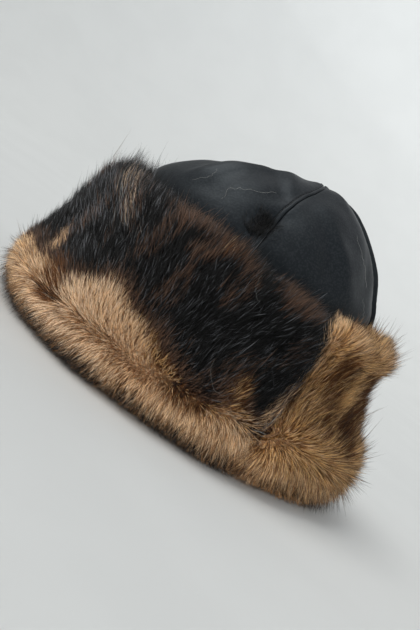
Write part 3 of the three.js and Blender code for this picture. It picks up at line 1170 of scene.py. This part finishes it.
@dataclass
class Strands:
    """Many hairs: the points of each from root to tip, its thickness, and its place on the palette."""

    path: Array
    width: Array
    tone: Array

    def build(self, name: str, rng: Chance) -> Object:
        """Makes one mesh of closed three-sided hairs.

        Args:
            name: the new object's name.
            rng: the source of chance, for the way that each hair is turned.

        Returns:
            The mesh's object, with the map that its finish reads.
        """
        count, knots = self.path.shape[:2]
        rings = knots - 2
        run = unit(self.path[:, 2:] - self.path[:, :-2])
        start = unit(np.cross(run[:, :1], rng.normal(size=(count, 1, 3))))
        side = unit(start - run * (start * run).sum(-1, keepdims=True))
        over = np.cross(run, side)
        thick = np.linspace(1.0, 0.62, rings)[None, :, None, None] * self.width[:, None, None, None] / 2
        turn = np.arange(3) * math.tau / 3
        wheel = np.cos(turn)[:, None] * side[:, :, None] + np.sin(turn)[:, None] * over[:, :, None]
        ring_points = (self.path[:, 1:-1, None] + thick * wheel).reshape(count, rings * 3, 3)
        points = np.concatenate([self.path[:, :1], ring_points, self.path[:, -1:]], axis=1)
        size = rings * 3 + 2
        faces = []
        for corner in range(3):
            after = (corner + 1) % 3
            faces.append((0, 1 + after, 1 + corner))
            for ring in range(rings - 1):
                a, b = 1 + 3 * ring + corner, 1 + 3 * ring + after
                faces += [(a, b, b + 3), (a, b + 3, a + 3)]
            faces.append((size - 4 + corner, size - 4 + after, size - 1))
        triangles = (np.array(faces)[None] + size * np.arange(count)[:, None, None]).reshape(-1, 3)
        thing = mesh_of(name, points.reshape(-1, 3), triangles)
        along = np.concatenate([[0], np.repeat(np.linspace(0, 1, knots)[1:-1], 3), [1]])
        shift = np.concatenate([[0], np.tile((-1, 1, 0), rings), [0]]) * MAP_WIDTH
        tone = (self.tone[:, None] + shift[None]).ravel()
        add_hair_map(thing.data, tone[triangles.ravel()], np.tile(along, count)[triangles.ravel()])
        return thing


HAIR_KNOTS = (0.0, 0.45, 1.0)  # where a hair bends, as shares of its length


@dataclass(frozen=True)
class Coat:
    """One mesh of a cuff's hairs: how many there are, how thick, and how long against the cuff's own table.

    A long coat is sparse, dark at its tips and lies flatter. Its share at_foot grows along the low edge.
    """

    name: str
    hairs: int
    width: float
    stretch: float
    lay: float = 1.0
    at_foot: float = 0.0


@dataclass
class FurCuff:
    """A turned-up band of fur: a solid pelt with several coats of hair on it."""

    node: str
    slot: str
    pelt: Sequence[PeltSection]
    hair: Sequence[HairRow]
    coats: Sequence[Coat]
    lean: Sequence[Lean]
    start: float
    end: float
    side: int  # -1 in front of the split, 1 behind it
    thinning: float  # how thick the band stays at the split
    seed: int
    fall_front: float = 0.0  # how much lower its top is at the front
    fall_rear: float = 0.0
    split: float = 76.0  # where the two cuffs meet, along X
    gap: float = 0.5
    end_thinning: float = 22.0
    inset: float = 3.4  # from the pelt's outside in to its solid body
    root_depth: float = 0.6  # of the hairs in that body
    inner_reach: float = 2.6
    leather_gap: float = 0.8
    foot_gap: float = 8.0  # the most that the shorter hairs end above the ground
    glint_width: float = 0.35  # thicker hairs get no painted glint
    rim: CrownSection = CrownSection(0, 98, 104, 85)
    parting: float = 27.0  # above this height the fur lies upwards, and below it downwards
    parting_span: float = 14.0  # over which it turns
    fan_middle: tuple[float, float, float] = (96.0, 92.0, 46.0)
    fan_reach: float = 46.0
    foot_shyness: float = 0.0  # how far from the split the lowest hairs keep
    near_share: float = 0.2  # how much denser the wearer's left side is than the average
    front_trim: float = 0.38  # how much shorter the hair is low down at the front
    nape_growth: float = 0.4  # how much longer it is along the top at the nape
    ruff: float = 0.45  # how much longer it is along the top beside the brow
    ruff_change: float = 0.25
    ruff_angle: float = 206.0
    ruff_width: float = 11.0
    lift_spread: float = 6.0  # degrees by which hairs stand unevenly
    lean_spread: float = 13.0  # degrees by which they lean unevenly
    stray: float = 0.15
    tuft_pull: float = 0.09  # how far the hairs draw together
    tuft_sizes: tuple[float, float] = (8.0, 3.5)
    area: float = 0.0  # of the pelt, measured as its roots are spread

    @property
    def last(self) -> int:
        """The pelt's last station."""
        return len(self.pelt) - 1

    def depth_inside(self, points: Array) -> Array:
        """How far points lie on the cuff's own side of the split."""
        return self.side * (points[..., 0] - self.split) - self.gap / 2

    def rim_oval(self, angles: Array, stations: Array) -> Array:
        """The upright wall that stands on the crown's rim, with its height as the station."""
        rim = {name: getattr(self.rim, name) for name in ("front", "rear", "side")}
        return oval({**rim, "height": stations}, angles)

    def outward(self, angles: Array) -> Array:
        """The level direction away from the crown at each angle."""
        return skin_of(self.rim_oval, angles, np.zeros(np.shape(angles))).normal

    def surface(self, angles: Array, stations: Array) -> Array:
        """Points of the pelt's outside.

        Args:
            angles: their angles.
            stations: their stations along the pelt's section.

        Returns:
            The points.
        """
        section = read_between(self.pelt, np.clip(stations, 0, self.last))
        foot = self.rim_oval(angles, np.zeros(np.shape(angles)))
        full = self.thinning + (1 - self.thinning) * smooth(self.depth_inside(foot), 0, self.end_thinning)
        rearward = np.cos(np.radians(angles))
        fall = 1 - self.fall_rear * np.maximum(0, rearward) - self.fall_front * np.maximum(0, -rearward)
        points = foot + self.outward(angles) * (section["reach"] * full)[..., None]
        points[..., 2] += section["height"] * fall
        return points

    def skin(self, angles: Array, stations: Array) -> Skin:
        """What the pelt's outside is like at each place."""
        return skin_of(self.surface, angles, np.clip(stations, 0.06, self.last - 0.06))

    def build_body(self) -> Object:
        """Builds the pelt's solid body, a little inside its outside.

        Returns:
            Its object, with the map that the fur finish reads.
        """
        outer, inner = np.linspace(0, self.last, 3 * self.last + 1), np.linspace(1, 0, 6)
        columns = len(outer) + len(inner) + 1
        angles = np.linspace(self.start, self.end, int((self.end - self.start) / 3) + 1)

        def place(column: Array, row: Array) -> Array:
            """Places the body's points.

            Args:
                column: their column numbers, round the body's section.
                row: their row numbers, round the hat.

            Returns:
                The points.
            """
            column = column % (columns - 1)
            angle = angles[row]
            station = outer[np.clip(column, 0, len(outer) - 1)]
            outside = self.surface(angle, station) - self.skin(angle, station).normal * self.inset
            top = self.surface(angle, np.full(len(angle), float(self.last)))[:, 2] - self.inset
            share = inner[np.clip(column - len(outer), 0, len(inner) - 1)]
            wall = self.rim_oval(angle, np.zeros(len(angle))) + self.outward(angle) * self.inner_reach
            wall[:, 2] = FLOOR_MARGIN + share * (top - FLOOR_MARGIN)
            points = np.where((column < len(outer))[:, None], outside, wall)
            points[:, 2] = np.maximum(points[:, 2], FLOOR_MARGIN)
            return points

        body = wrapped_grid(self.node.replace("cuff", "body"), columns, len(angles), place)
        cut = {
            "plane_co": ((self.split + self.side * self.gap / 2) * MM, 0, 0),
            "plane_no": (self.side, 0, 0),
            "threshold": 0.001 * MM,
        }
        edit(
            body,
            lambda: bpy.ops.mesh.remove_doubles(threshold=0.01 * MM),
            lambda: bpy.ops.mesh.bisect(use_fill=True, clear_inner=True, **cut),
            lambda: bpy.ops.mesh.select_all(action="SELECT"),
            lambda: bpy.ops.mesh.quads_convert_to_tris(),
            lambda: bpy.ops.mesh.normals_make_consistent(inside=False),
        )
        mesh = body.data
        shade_smooth(mesh)
        points = corners_of(mesh) / MM
        tone = self.tones(points, np.random.default_rng(self.seed))
        along = 0.12 + 0.06 * drift(points, 5, self.seed)
        vertex = np.empty(len(mesh.loops), np.int32)
        mesh.loops.foreach_get("vertex_index", vertex)
        while mesh.uv_layers:
            mesh.uv_layers.remove(mesh.uv_layers[0])
        add_hair_map(mesh, tone[vertex], along[vertex])
        return body

    def tones(self, points: Array, rng: Chance) -> Array:
        """Chooses the kind of hair that shows at each place.

        Args:
            points: where the hairs show.
            rng: the source of chance.

        Returns:
            Their places on the palette.
        """
        angle = np.degrees(np.arctan2(points[:, 1], points[:, 0] - CROWN_CENTRE)) % 360
        hidden = points[:, 1] > 0
        folded = np.where(hidden, (360 - angle) % 360 + 7 * drift(points, 60, 3), angle)
        height = points[:, 2] + 2.2 * drift(points, 14, 8) + np.where(hidden, 4 * drift(points, 50, 9), 0)
        if self.side < 0:
            kinds, marks = self.front_kinds(folded, height, points, rng), FRONT_MARKS
        else:
            kinds, marks = self.rear_kinds(height, points, rng), REAR_MARKS
        radius = np.hypot(points[:, 0] - CROWN_CENTRE, points[:, 1])
        for mark in marks:
            turn = math.radians(mark.turn)
            aside = ((folded - mark.angle + 180) % 360 - 180) * np.radians(1) * radius
            above = height - mark.height
            along = above * math.cos(turn) + aside * math.sin(turn)
            across = aside * math.cos(turn) - above * math.sin(turn)
            reach = (along / mark.length) ** 2 + (across / mark.width) ** 2
            kinds = paint(kinds, (rng.random(len(points)) < mark.share * np.exp(-(reach**2)), mark.kind))
        return palette_places(kinds, len(points), rng)

    def rear_kinds(self, height: Array, points: Array, rng: Chance) -> Array:
        """Chooses the rear cuff's main kinds: gold and tan hair, with brown stripes and a dark-tipped edge.

        Args:
            height: the places' heights, unevened a little.
            points: where they are.
            rng: the source of chance.

        Returns:
            A kind for each place.
        """
        chance = rng.random((3, len(points)))
        mixed = np.array([kind.value for kind in (Hair.GOLD, Hair.TAN, Hair.BROWN, Hair.TIPPED)])
        # The shares of brown stripes, higher up, and of the tan edge beside the split.
        stripes = smooth(drift(points * (1, 1, 0.22), 17, 21), 0.35, 0.9)
        striped = np.maximum(stripes, 0.24) * smooth(height, 42, 60)
        edge = smooth(self.depth_inside(points), 7, 1) * smooth(height, 70, 100)
        # The share of dark tips, along the foot and round the fan.
        away = np.linalg.norm(np.abs(points) - np.array(self.fan_middle), axis=1)
        outer = np.maximum(smooth(height, 15, 5), 0.32 * smooth(away, 22, 44) * smooth(height, 44, 30))
        outer *= 0.75 + 0.45 * np.clip(drift(points, 4, 13), -1, 1)
        return paint(
            mixed[np.searchsorted((0.5, 0.66, 0.84), chance[0])],
            (chance[1] < 0.75 * striped, Hair.BROWN),
            (chance[1] < np.maximum(0.7 * edge, 0.6 * smooth(height, 26, 16)), Hair.TAN),
            (chance[2] < outer, Hair.TIPPED),
        )

    def front_kinds(self, angle: Array, height: Array, points: Array, rng: Chance) -> Array:
        """Chooses the front cuff's main kinds: a tan band below black hair, and a brown blend between them.

        Args:
            angle: the places' angles, folded to the left side.
            height: their heights, unevened a little.
            points: where they are.
            rng: the source of chance.

        Returns:
            A kind for each place.
        """
        chance = rng.random((3, len(points)))
        above = height - read_straight(TAN_BORDER, "angle", "height", angle)
        # The shares of hairs with a painted glint and of russet streaks in the black.
        glint_share = 0.075 + 0.02 * smooth(angle, 272, 290)
        streaked = 0.3 * smooth(drift(points * (1, 1, 0.3), 16, 31), 0.5, 1.3)
        # Where the tan is golden, and where it blends into the black.
        ochre = smooth(angle, 256, 270) * smooth(above, -16, -4) + 0.2 * smooth(angle, 226, 214)
        turning = hill(above - 2, 6 + 4 * smooth(angle, 260, 274) * smooth(angle, 298, 286))
        blended = rng.random(len(points)) < (0.62 + 0.2 * smooth(angle, 256, 266)) * turning
        # The share of dark tips in the tan, and the black hair along the crease beside the split, which is
        # partly painted shade.
        tufts = 0.5 + 0.5 * drift(points, 4, 12)
        tipped = 0.09 + smooth(height, 18, 7) * (0.5 + 0.5 * tufts) + 0.2 * smooth(angle, 230, 216)
        crease = smooth(self.depth_inside(points), 10, 3) * smooth(height, 28, 36) * smooth(height, 68, 58)
        creased = chance[0] < 0.8 * crease
        return paint(
            np.where(above > 0, Hair.BLACK.value, Hair.TAN.value),
            ((above > 6) & (chance[1] < glint_share), Hair.PAINTED_GLINT),
            ((above > 6) & (chance[1] > 1 - streaked), Hair.RUSSET),
            # More pale hair low at the front near 238 degrees, partly the fur's own pale patch and partly
            # painted light on the lower front.
            ((above < -2) & (chance[1] < 0.2 + 0.55 * hill(angle - 238, 17)), Hair.PALE),
            ((above < 1) & (chance[0] < 0.6 * ochre), Hair.GOLD),
            (blended & (above > 1), Hair.RUSSET),
            (blended & (above <= 1), Hair.BROWN),
            ((above < 0) & (chance[2] < tipped), Hair.TIPPED),
            # Black hair in the crease, partly the fur's own and partly painted shade.
            (creased, Hair.BLACK),
            (creased & (chance[1] < 0.12), Hair.LOOSE),
            (rng.random(len(points)) < smooth(height, 9, 3) * 0.6, Hair.BLACK),
        )

    def roots(self, count: int, rng: Chance) -> tuple[Array, Array]:
        """Spreads hair roots evenly over the pelt.

        Args:
            count: how many.
            rng: the source of chance.

        Returns:
            Their angles and stations.
        """
        angle_step, station_step = 1.0, 0.1
        angles = np.arange(self.start, self.end, angle_step)
        cells = np.meshgrid(angles, np.arange(0, self.last, station_step))
        angle, station = (grid.ravel() for grid in cells)
        skin, points = self.skin(angle, station), self.surface(angle, station)
        area = skin.per_degree * skin.per_station
        area *= self.depth_inside(points) > self.foot_shyness * smooth(points[:, 2], 36, 12)
        area *= 1 - self.near_share * np.sin(np.radians(angle))
        self.area = float(area.sum()) * angle_step * station_step
        chosen = rng.choice(len(area), count, p=area / area.sum())
        angle = angle[chosen] + rng.random(count) * angle_step
        station = station[chosen] + rng.random(count) * station_step
        return angle, np.minimum(station, self.last)

    def build_coat(self, coat: Coat, number: int) -> Object:
        """Builds one coat of hairs.

        Args:
            coat: the coat's sizes.
            number: its number, for its own run of chance.

        Returns:
            The coat's object.
        """
        rng = np.random.default_rng(self.seed * 100 + number)
        count = coat.hairs
        angle, station = self.roots(count, rng)
        at_foot = rng.random(count) < coat.at_foot
        station = np.where(at_foot, rng.uniform(0.4, 3.2, count), station)
        path = self.comb(angle, station, coat, rng)
        path = self.gather(path, station, rng)
        path = self.keep_clear(path, 0.0 if coat.at_foot else self.foot_gap, rng)
        width = coat.width * rng.uniform(0.75, 1.2, count) * 1.0
        tone = self.tones(path[:, -2] * 0.5 + path[:, -1] * 0.5, rng)
        kind = np.floor(tone * len(Hair))
        # Thicker hairs lose their painted glint and turn black.
        if coat.width > self.glint_width:
            tone = np.where(kind == Hair.PAINTED_GLINT.value, tone - 1 / len(Hair), tone)
        if coat.at_foot:
            fair = np.isin(kind, [Hair.TAN.value, Hair.PALE.value, Hair.GOLD.value])
            tone = np.where(fair, tone + (Hair.TIPPED.value - kind) / len(Hair), tone)
        return Strands(path, width, tone).build(coat.name, rng)

    def lengths(self, angle: Array, station: Array, root: Array, rng: Chance) -> Array:
        """How long the hair grows at each root, before a coat's own stretch.

        Args:
            angle: the roots' angles, folded to the left side.
            station: the roots' stations.
            root: the roots' points.
            rng: the source of chance.

        Returns:
            One length for each root.
        """
        length = read_straight(self.hair, "station", "length", station)
        length = length * rng.uniform(0.72, 1.22, len(station))
        length *= 1 + 0.1 * drift(root, 24, self.seed + 1)
        length *= np.where(rng.random(len(station)) < 0.04, 1.3, 1.0)
        rearward, height = np.cos(np.radians(angle)), root[:, 2]
        length *= 1 - self.front_trim * smooth(rearward, -0.6, -0.9) * smooth(height, 90, 50)
        length *= 1 + self.nape_growth * smooth(rearward, 0.93, 0.99) * smooth(height, 98, 114)
        ruff = self.ruff + self.ruff_change * drift(root, 8, self.seed + 5)
        ruff *= hill(angle - self.ruff_angle, self.ruff_width)
        return length * (1 + ruff * smooth(station, 8.2, 9.6))

    def comb(self, angle: Array, station: Array, coat: Coat, rng: Chance) -> Array:
        """Lays each hair along the pelt the way the fur runs there.

        Args:
            angle: the roots' angles.
            station: the roots' stations.
            coat: the coat's sizes.
            rng: the source of chance.

        Returns:
            The points of each hair.
        """
        count = len(angle)
        root, skin = self.surface(angle, station), self.skin(angle, station)
        height, right = root[:, 2], root[:, 1] > 0
        folded = np.where(right, -angle, angle) % 360
        length = self.lengths(folded, station, root, rng) * coat.stretch
        lift = read_straight(self.hair, "station", "lift", station)
        lift = lift * (1 + 0.2 * drift(root, 15, self.seed + 2)) * coat.lay
        lift += rng.normal(0, self.lift_spread, count)
        lean = read_straight(self.lean, "angle", "lean", folded) * smooth(height, 22, 44)
        lean *= np.where(right, -1, 1)
        lean += 6 * drift(root, 30, self.seed + 3) + 4 * drift(root, 7, self.seed + 4)
        lean = np.radians(lean + rng.normal(0, self.lean_spread, count))
        # Above the parting the hair lies upwards and below it downwards, and between them it stands out.
        above = height - self.parting - 0.3 * self.parting_span * drift(root, 28, self.seed + 7)
        lies = 2 * smooth(above, -self.parting_span, self.parting_span) - 1
        flat = np.sign(lies) * np.abs(lies) ** 0.6
        # Beside the split it leans forward.
        edge = smooth(self.depth_inside(root), 13, 1) * rng.uniform(0.1, 1.3, count)
        edge *= 1 + 0.5 * smooth(height, 34, 14) if self.side > 0 else 0.4
        # Along the top edge it stands up, outward on the edge's outer side and inward on its inner side.
        over_top = smooth(station, 8.8, 10.2)[:, None]
        sway = skin.around * np.sin(lean)[:, None]
        outward = 0.32 - 0.9 * smooth(station, 9.9, 10.8)
        away = unit(np.array([0, 0, 0.9]) + self.outward(angle) * outward[:, None] + sway)
        turned = self.fan_run(root, skin.normal) if self.side > 0 else 0.0
        turned = turned + self.stray * rng.normal(size=(count, 3)) - np.array([1.0, 0, 0]) * edge[:, None]
        sunk = self.inset + self.root_depth
        path = [root - skin.normal * sunk]
        for share, after in zip(HAIR_KNOTS, HAIR_KNOTS[1:]):
            rise = np.radians(np.clip(lift * (1.6 - 0.6 * (share + after)), 5, 92))
            run = skin.upward * (flat * np.cos(rise) * np.cos(lean))[:, None] + sway * np.cos(rise)[:, None]
            run += skin.normal * (np.sin(rise) + 0.9 * (1 - np.abs(flat)))[:, None]
            run = unit(run) * (1 - over_top) + away * over_top + turned
            path.append(path[-1] + unit(run) * ((sunk + length) * (after - share))[:, None])
        return np.stack(path, 1)

    def fan_run(self, root: Array, normal: Array) -> Array:
        """The way that hair turns away from the middle of the fan at each lower end of the rear fur.

        Args:
            root: the hairs' roots.
            normal: the pelt's normal at each.

        Returns:
            What is added to each hair's direction.
        """
        mirror = np.stack([np.ones(len(root)), np.sign(root[:, 1]), np.ones(len(root))], -1)
        away = root - np.array(self.fan_middle) * mirror
        away -= normal * (away * normal).sum(1, keepdims=True)
        distance = np.linalg.norm(away, axis=1)
        near = hill(distance, self.fan_reach) * smooth(root[:, 2], 66, 40)
        return away * (0.85 * near / (distance + 9))[:, None]

    def gather(self, path: Array, station: Array, rng: Chance) -> Array:
        """Draws the hairs together into fine tufts, more so along the fur's top and bottom edges.

        Args:
            path: the points of each hair.
            station: the stations of their roots.
            rng: the source of chance.

        Returns:
            The points, drawn together towards the tips.
        """
        share = np.linspace(0, 1, path.shape[1])
        at_edge = smooth(station, 8.4, 9.8) + smooth(station, 2.6, 1.2)
        for size in self.tuft_sizes:
            count = min(len(path) // 4, int(self.area / size**2))
            leaders = rng.choice(len(path), count, replace=False)
            tree = KDTree(len(leaders))
            for index, leader in enumerate(leaders):
                tree.insert(path[leader, 0], index)
            tree.balance()
            nearest = leaders[np.array([tree.find(point)[1] for point in path[:, 0]])]
            pulled = self.tuft_pull * (1 + 3.5 * at_edge) * rng.uniform(0.4, 1.3, len(path))
            path = path + (path[nearest] - path) * (pulled[:, None] * share**1.5)[..., None]
        return path

    def keep_clear(self, path: Array, foot_gap: float, rng: Chance) -> Array:
        """Keeps the hairs out of the leather, above the ground and on their own side of the split.

        Args:
            path: the points of each hair.
            foot_gap: how far above the ground the hairs end, at most.
            rng: the source of chance.

        Returns:
            The points, moved where they have to be.
        """
        z = path[..., 2]
        reaches = (read_straight(CROWN_SECTIONS, "height", name, z) for name in ("front", "rear", "side"))
        front, rear, side = (reach + self.leather_gap for reach in reaches)
        middle, half = CROWN_CENTRE + (rear - front) / 2, (rear + front) / 2
        inside = np.hypot((path[..., 0] - middle) / half, path[..., 1] / side)
        grow = np.where((inside < 1) & (z < CROWN_SECTIONS[-1].height), 1 / np.maximum(inside, 0.2), 1)
        path = path.copy()
        path[..., 0] = middle + (path[..., 0] - middle) * grow
        path[..., 1] *= grow
        if self.side < 0:
            limit = self.split + rng.uniform(-3, 4, len(path))[:, None]
            path[..., 0] -= np.maximum(0, path[..., 0] - limit) * 0.8
        tufts = 0.5 + 0.5 * np.clip(drift(path[:, 0], 5, self.seed + 6), -1, 1)
        foot = FLOOR_MARGIN + foot_gap * tufts * rng.uniform(0.6, 1, len(path))
        path[..., 2] = np.maximum(path[..., 2], foot[:, None])
        return path

    def build(self, finish: Material) -> None:
        """Builds the body and the coats, and dresses them.

        Args:
            finish: the fur's material.
        """
        settle(self.build_body(), finish, self.node)
        for number, coat in enumerate(self.coats):
            settle(self.build_coat(coat, number), finish)


CUFFS = (
    FurCuff(
        node="fur_cuff_front",
        slot="front_fur",
        pelt=FRONT_PELT,
        hair=FRONT_HAIR,
        coats=table(
            Coat,
            ("front_fur_deep", 29000, 0.40, 0.85),
            ("front_fur_middle", 30000, 0.32, 1.0),
            ("front_fur_fine", 30000, 0.28, 1.05),
            ("front_fur_guard", 16000, 0.26, 1.2),
            ("front_fur_long", 8500, 0.34, 1.75, 0.74, 0.6),
        ),
        lean=FRONT_LEAN,
        start=28,
        end=332,
        side=-1,
        thinning=0.8,
        seed=11,
        fall_front=0.05,
        fall_rear=0.1,
        foot_shyness=12.0,
    ),
    FurCuff(
        node="fur_cuff_rear",
        slot="rear_fur",
        pelt=REAR_PELT,
        hair=REAR_HAIR,
        coats=table(
            Coat,
            ("rear_fur_deep", 18000, 0.38, 0.85),
            ("rear_fur_fine", 20000, 0.28, 1.0),
            ("rear_fur_long", 3000, 0.34, 1.6, 0.75, 0.5),
        ),
        lean=REAR_LEAN,
        start=-68,
        end=68,
        side=1,
        thinning=0.92,
        seed=47,
        parting=38.0,
        parting_span=18.0,
    ),
)


@dataclass(frozen=True)
class Spot:
    """A place on the hat, as an angle and a height."""

    angle: float
    height: float


@dataclass(frozen=True)
class StrayHair:
    """A loose hair: the places that it passes, how far it waves, and whether it lies on the fur."""

    spots: tuple[Spot, ...]
    wave: float
    on_fur: bool = False


STRAY_HAIRS = (
    StrayHair((Spot(246, 142), Spot(243, 150), Spot(246, 155), Spot(252, 161), Spot(257, 169)), 0.9),
    StrayHair((Spot(318, 175), Spot(323, 166), Spot(327, 160), Spot(333, 150)), 0.7),
    StrayHair((Spot(329, 142), Spot(332, 134), Spot(333, 128)), 0.8),
    StrayHair((Spot(228, 140), Spot(231, 149), Spot(229, 155)), 0.6),
    StrayHair((Spot(118, 150), Spot(112, 160), Spot(101, 166)), 0.9),
    StrayHair((Spot(48, 172), Spot(39, 160), Spot(35, 146)), 0.7),
    StrayHair((Spot(281, 58), Spot(283, 48), Spot(287, 44), Spot(290, 49), Spot(288, 54)), 0.5, True),
    StrayHair((Spot(279, 114), Spot(280, 108), Spot(283, 104)), 0.4, True),
    StrayHair((Spot(289, 46), Spot(292, 40), Spot(290, 36)), 0.4, True),
)


@dataclass
class StrayHairs:
    """Loose pale hairs that cling to the leather and curl over the fur."""

    crown: Crown
    cuff: FurCuff
    width: float = 0.17
    knots: int = 34
    clearance: float = 1.4
    fur_depth: float = 10.0
    seed: int = 5

    def path(self, hair: StrayHair) -> Array:
        """Lays one hair over the leather or the fur.

        Args:
            hair: which one.

        Returns:
            Its points.
        """
        read = read_between(hair.spots, np.linspace(0, len(hair.spots) - 1, self.knots))
        surface, sections = self.crown.point, CROWN_SECTIONS
        if hair.on_fur:
            surface, sections = self.cuff.surface, self.cuff.pelt
        angle, station = read["angle"], station_at(sections, read["height"])
        normal = skin_of(surface, angle, station).normal
        above = self.fur_depth if hair.on_fur else self.crown.relief(angle, station) + self.clearance
        path = surface(angle, station) + normal * np.broadcast_to(above, len(station))[:, None]
        aside = unit(np.cross(normal, np.gradient(path, axis=0)))
        steps = np.arange(self.knots)
        return path + aside * (hair.wave * np.sin(steps * 0.9 + 1.1 * np.sin(steps * 0.37)))[:, None]

    def build(self, finish: Material) -> None:
        """Builds all of them as one piece.

        Args:
            finish: the fur's material.
        """
        rng = np.random.default_rng(self.seed)
        path = np.stack([self.path(hair) for hair in STRAY_HAIRS])
        tone = palette_places(Hair.LOOSE.value, len(path), rng)
        strands = Strands(path, np.full(len(path), self.width), tone)
        settle(strands.build("stray_hairs", rng), finish)


@dataclass
class LeatherTuft:
    """Short dark hairs that cling to the leather beside the wearer's left seam."""

    crown: Crown
    hairs: int = 420
    angle: float = 265.5
    spread: float = 2.6
    sweep: float = 2.5  # how unevenly the tips swing aside, in degrees
    low: float = 133.0
    high: float = 150.0
    length: float = 9.0
    width: float = 0.26
    root_depth: float = 0.5
    tip_clearance: float = 2.2
    seed: int = 19

    def build(self, finish: Material) -> None:
        """Builds all its hairs as one piece.

        Args:
            finish: the fur's material.
        """
        rng = np.random.default_rng(self.seed)
        share = np.linspace(0, 1, 3)
        angle = rng.normal(self.angle, self.spread, self.hairs)[:, None]
        angle = (angle + rng.normal(0, self.sweep, self.hairs)[:, None] * share).ravel()
        height = rng.uniform(self.low, self.high, self.hairs)[:, None]
        height = height + self.length * rng.uniform(0.6, 1.1, self.hairs)[:, None] * share
        station = station_at(CROWN_SECTIONS, height.ravel())
        above = np.tile(-self.root_depth + (self.root_depth + self.tip_clearance) * share, self.hairs)
        normal = skin_of(self.crown.point, angle, station).normal
        lift = self.crown.relief(angle, station) + above
        path = self.crown.point(angle, station) + normal * lift[:, None]
        width = self.width * rng.uniform(0.75, 1.2, self.hairs)
        tone = palette_places(Hair.BLACK.value, self.hairs, rng)
        strands = Strands(path.reshape(self.hairs, len(share), 3), width, tone)
        settle(strands.build("leather_tuft", rng), finish)


@dataclass(frozen=True)
class Sun:
    """A soft light that falls evenly over the whole studio: where it comes from, and how wide it looks."""

    name: str
    towards: tuple[float, float, float]
    strength: float  # watts a square metre
    spread: float  # degrees
    tint: Colour


SUNS = table(
    Sun,
    ("key", (-0.46, -0.02, 0.88), 1.38, 36, (255, 253, 250)),
    ("fill", (-0.5, -0.8, -0.42), 2.95, 60, (252, 253, 255)),
    ("side", (0.5, -0.6, 0.6), 0.2, 50, (251, 252, 255)),
    ("back", (0.4, 0.9, 0.5), 0.3, 60, (250, 252, 255)),
)


@dataclass
class Studio:
    """The pale floor that sweeps up into a wall all round, the soft lights and the camera."""

    floor_radius: float = 1.3
    floor_sides: int = 96
    sweep_radius: float = 0.9
    sweep_steps: int = 12
    wall_height: float = 0.5
    sky: tuple[float, float, float] = (0.95, 0.97, 1.0)
    sky_strength: float = 0.5
    azimuth: float = 4.0
    elevation: float = 7.0
    roll: float = 35.3
    distance: float = 0.75
    look_at: tuple[float, float, float] = (-0.004, 0.0, 0.066)
    focal_pixels: float = 1000.0
    picture_height: float = 630.0
    sensor: float = 36.0
    nearest: float = 0.01

    def build_backdrop(self) -> None:
        """Builds the floor and its wall as one seamless sheet."""
        deselect_all()
        circle = {"vertices": self.floor_sides, "radius": self.floor_radius, "fill_type": "TRIFAN"}
        bpy.ops.mesh.primitive_circle_add(**circle)
        floor = bpy.context.object
        floor.name = "studio_floor"
        bpy.ops.object.mode_set(mode="EDIT")
        bpy.ops.mesh.select_all(action="SELECT")
        bpy.ops.mesh.region_to_loop()
        radius, height = self.floor_radius, 0.0
        for step in range(1, self.sweep_steps + 2):
            turn = math.radians(90) * min(step, self.sweep_steps) / self.sweep_steps
            wider = self.floor_radius + self.sweep_radius * math.sin(turn)
            wall = self.wall_height if step > self.sweep_steps else 0
            higher = self.sweep_radius * (1 - math.cos(turn)) + wall
            bpy.ops.mesh.extrude_region_move(TRANSFORM_OT_translate={"value": (0, 0, higher - height)})
            growth = wider / radius
            bpy.ops.transform.resize(value=(growth, growth, 1), center_override=(0, 0, higher))
            radius, height = wider, higher
        bpy.ops.object.mode_set(mode="OBJECT")
        bpy.ops.object.shade_smooth()
        floor.data.materials.append(BackdropFinish("pale_backdrop").build())
        floor.visible_shadow = False

    def build_lights(self) -> None:
        """Hangs the lights and sets the even light that comes from all round."""
        for sun in SUNS:
            light = bpy.data.lights.new(sun.name, "SUN")
            light.energy = sun.strength
            light.angle = math.radians(sun.spread)
            light.color = linear(sun.tint)[:3]
            lamp = new_object(sun.name, light)
            lamp.rotation_euler = Vector(sun.towards).to_track_quat("Z", "Y").to_euler()
        world = bpy.data.worlds.new("studio")
        bpy.context.scene.world = world
        world.use_nodes = True
        sky = world.node_tree.nodes["Background"]
        sky.inputs["Color"].default_value = (*self.sky, 1)
        sky.inputs["Strength"].default_value = self.sky_strength
        bpy.context.scene.view_settings.view_transform = "Standard"

    def build_camera(self) -> None:
        """Sets the camera at the photograph's angle, rolled as it is there."""
        azimuth, elevation, roll = map(math.radians, (self.azimuth, self.elevation, self.roll))
        flat = math.cos(elevation)
        back = Vector((math.sin(azimuth) * flat, -math.cos(azimuth) * flat, math.sin(elevation)))
        right = Vector((math.cos(azimuth), math.sin(azimuth), 0))
        up = back.cross(right)
        across = math.cos(roll) * right + math.sin(roll) * up
        upward = math.cos(roll) * up - math.sin(roll) * right
        data = bpy.data.cameras.new("camera")
        data.sensor_fit = "VERTICAL"
        data.sensor_height = self.sensor
        data.lens = self.focal_pixels / self.picture_height * self.sensor
        data.clip_start = self.nearest
        camera = new_object("camera", data)
        turned = Matrix((across, upward, back)).transposed().to_4x4()
        camera.matrix_world = Matrix.Translation(Vector(self.look_at) + back * self.distance) @ turned
        bpy.context.scene.camera = camera

    def build(self) -> None:
        """Builds the whole studio."""
        self.build_backdrop()
        self.build_lights()
        self.build_camera()


def main() -> None:
    """Builds the studio and the hat, piece by piece."""
    logging.basicConfig(level=logging.INFO)
    Studio().build()
    Crown().build()
    fur = FurFinish("fur").build()
    for cuff in CUFFS:
        cuff.build(fur)
    StrayHairs(Crown(), CUFFS[0]).build(fur)
    LeatherTuft(Crown()).build(fur)


if __name__ == "__main__":
    main()
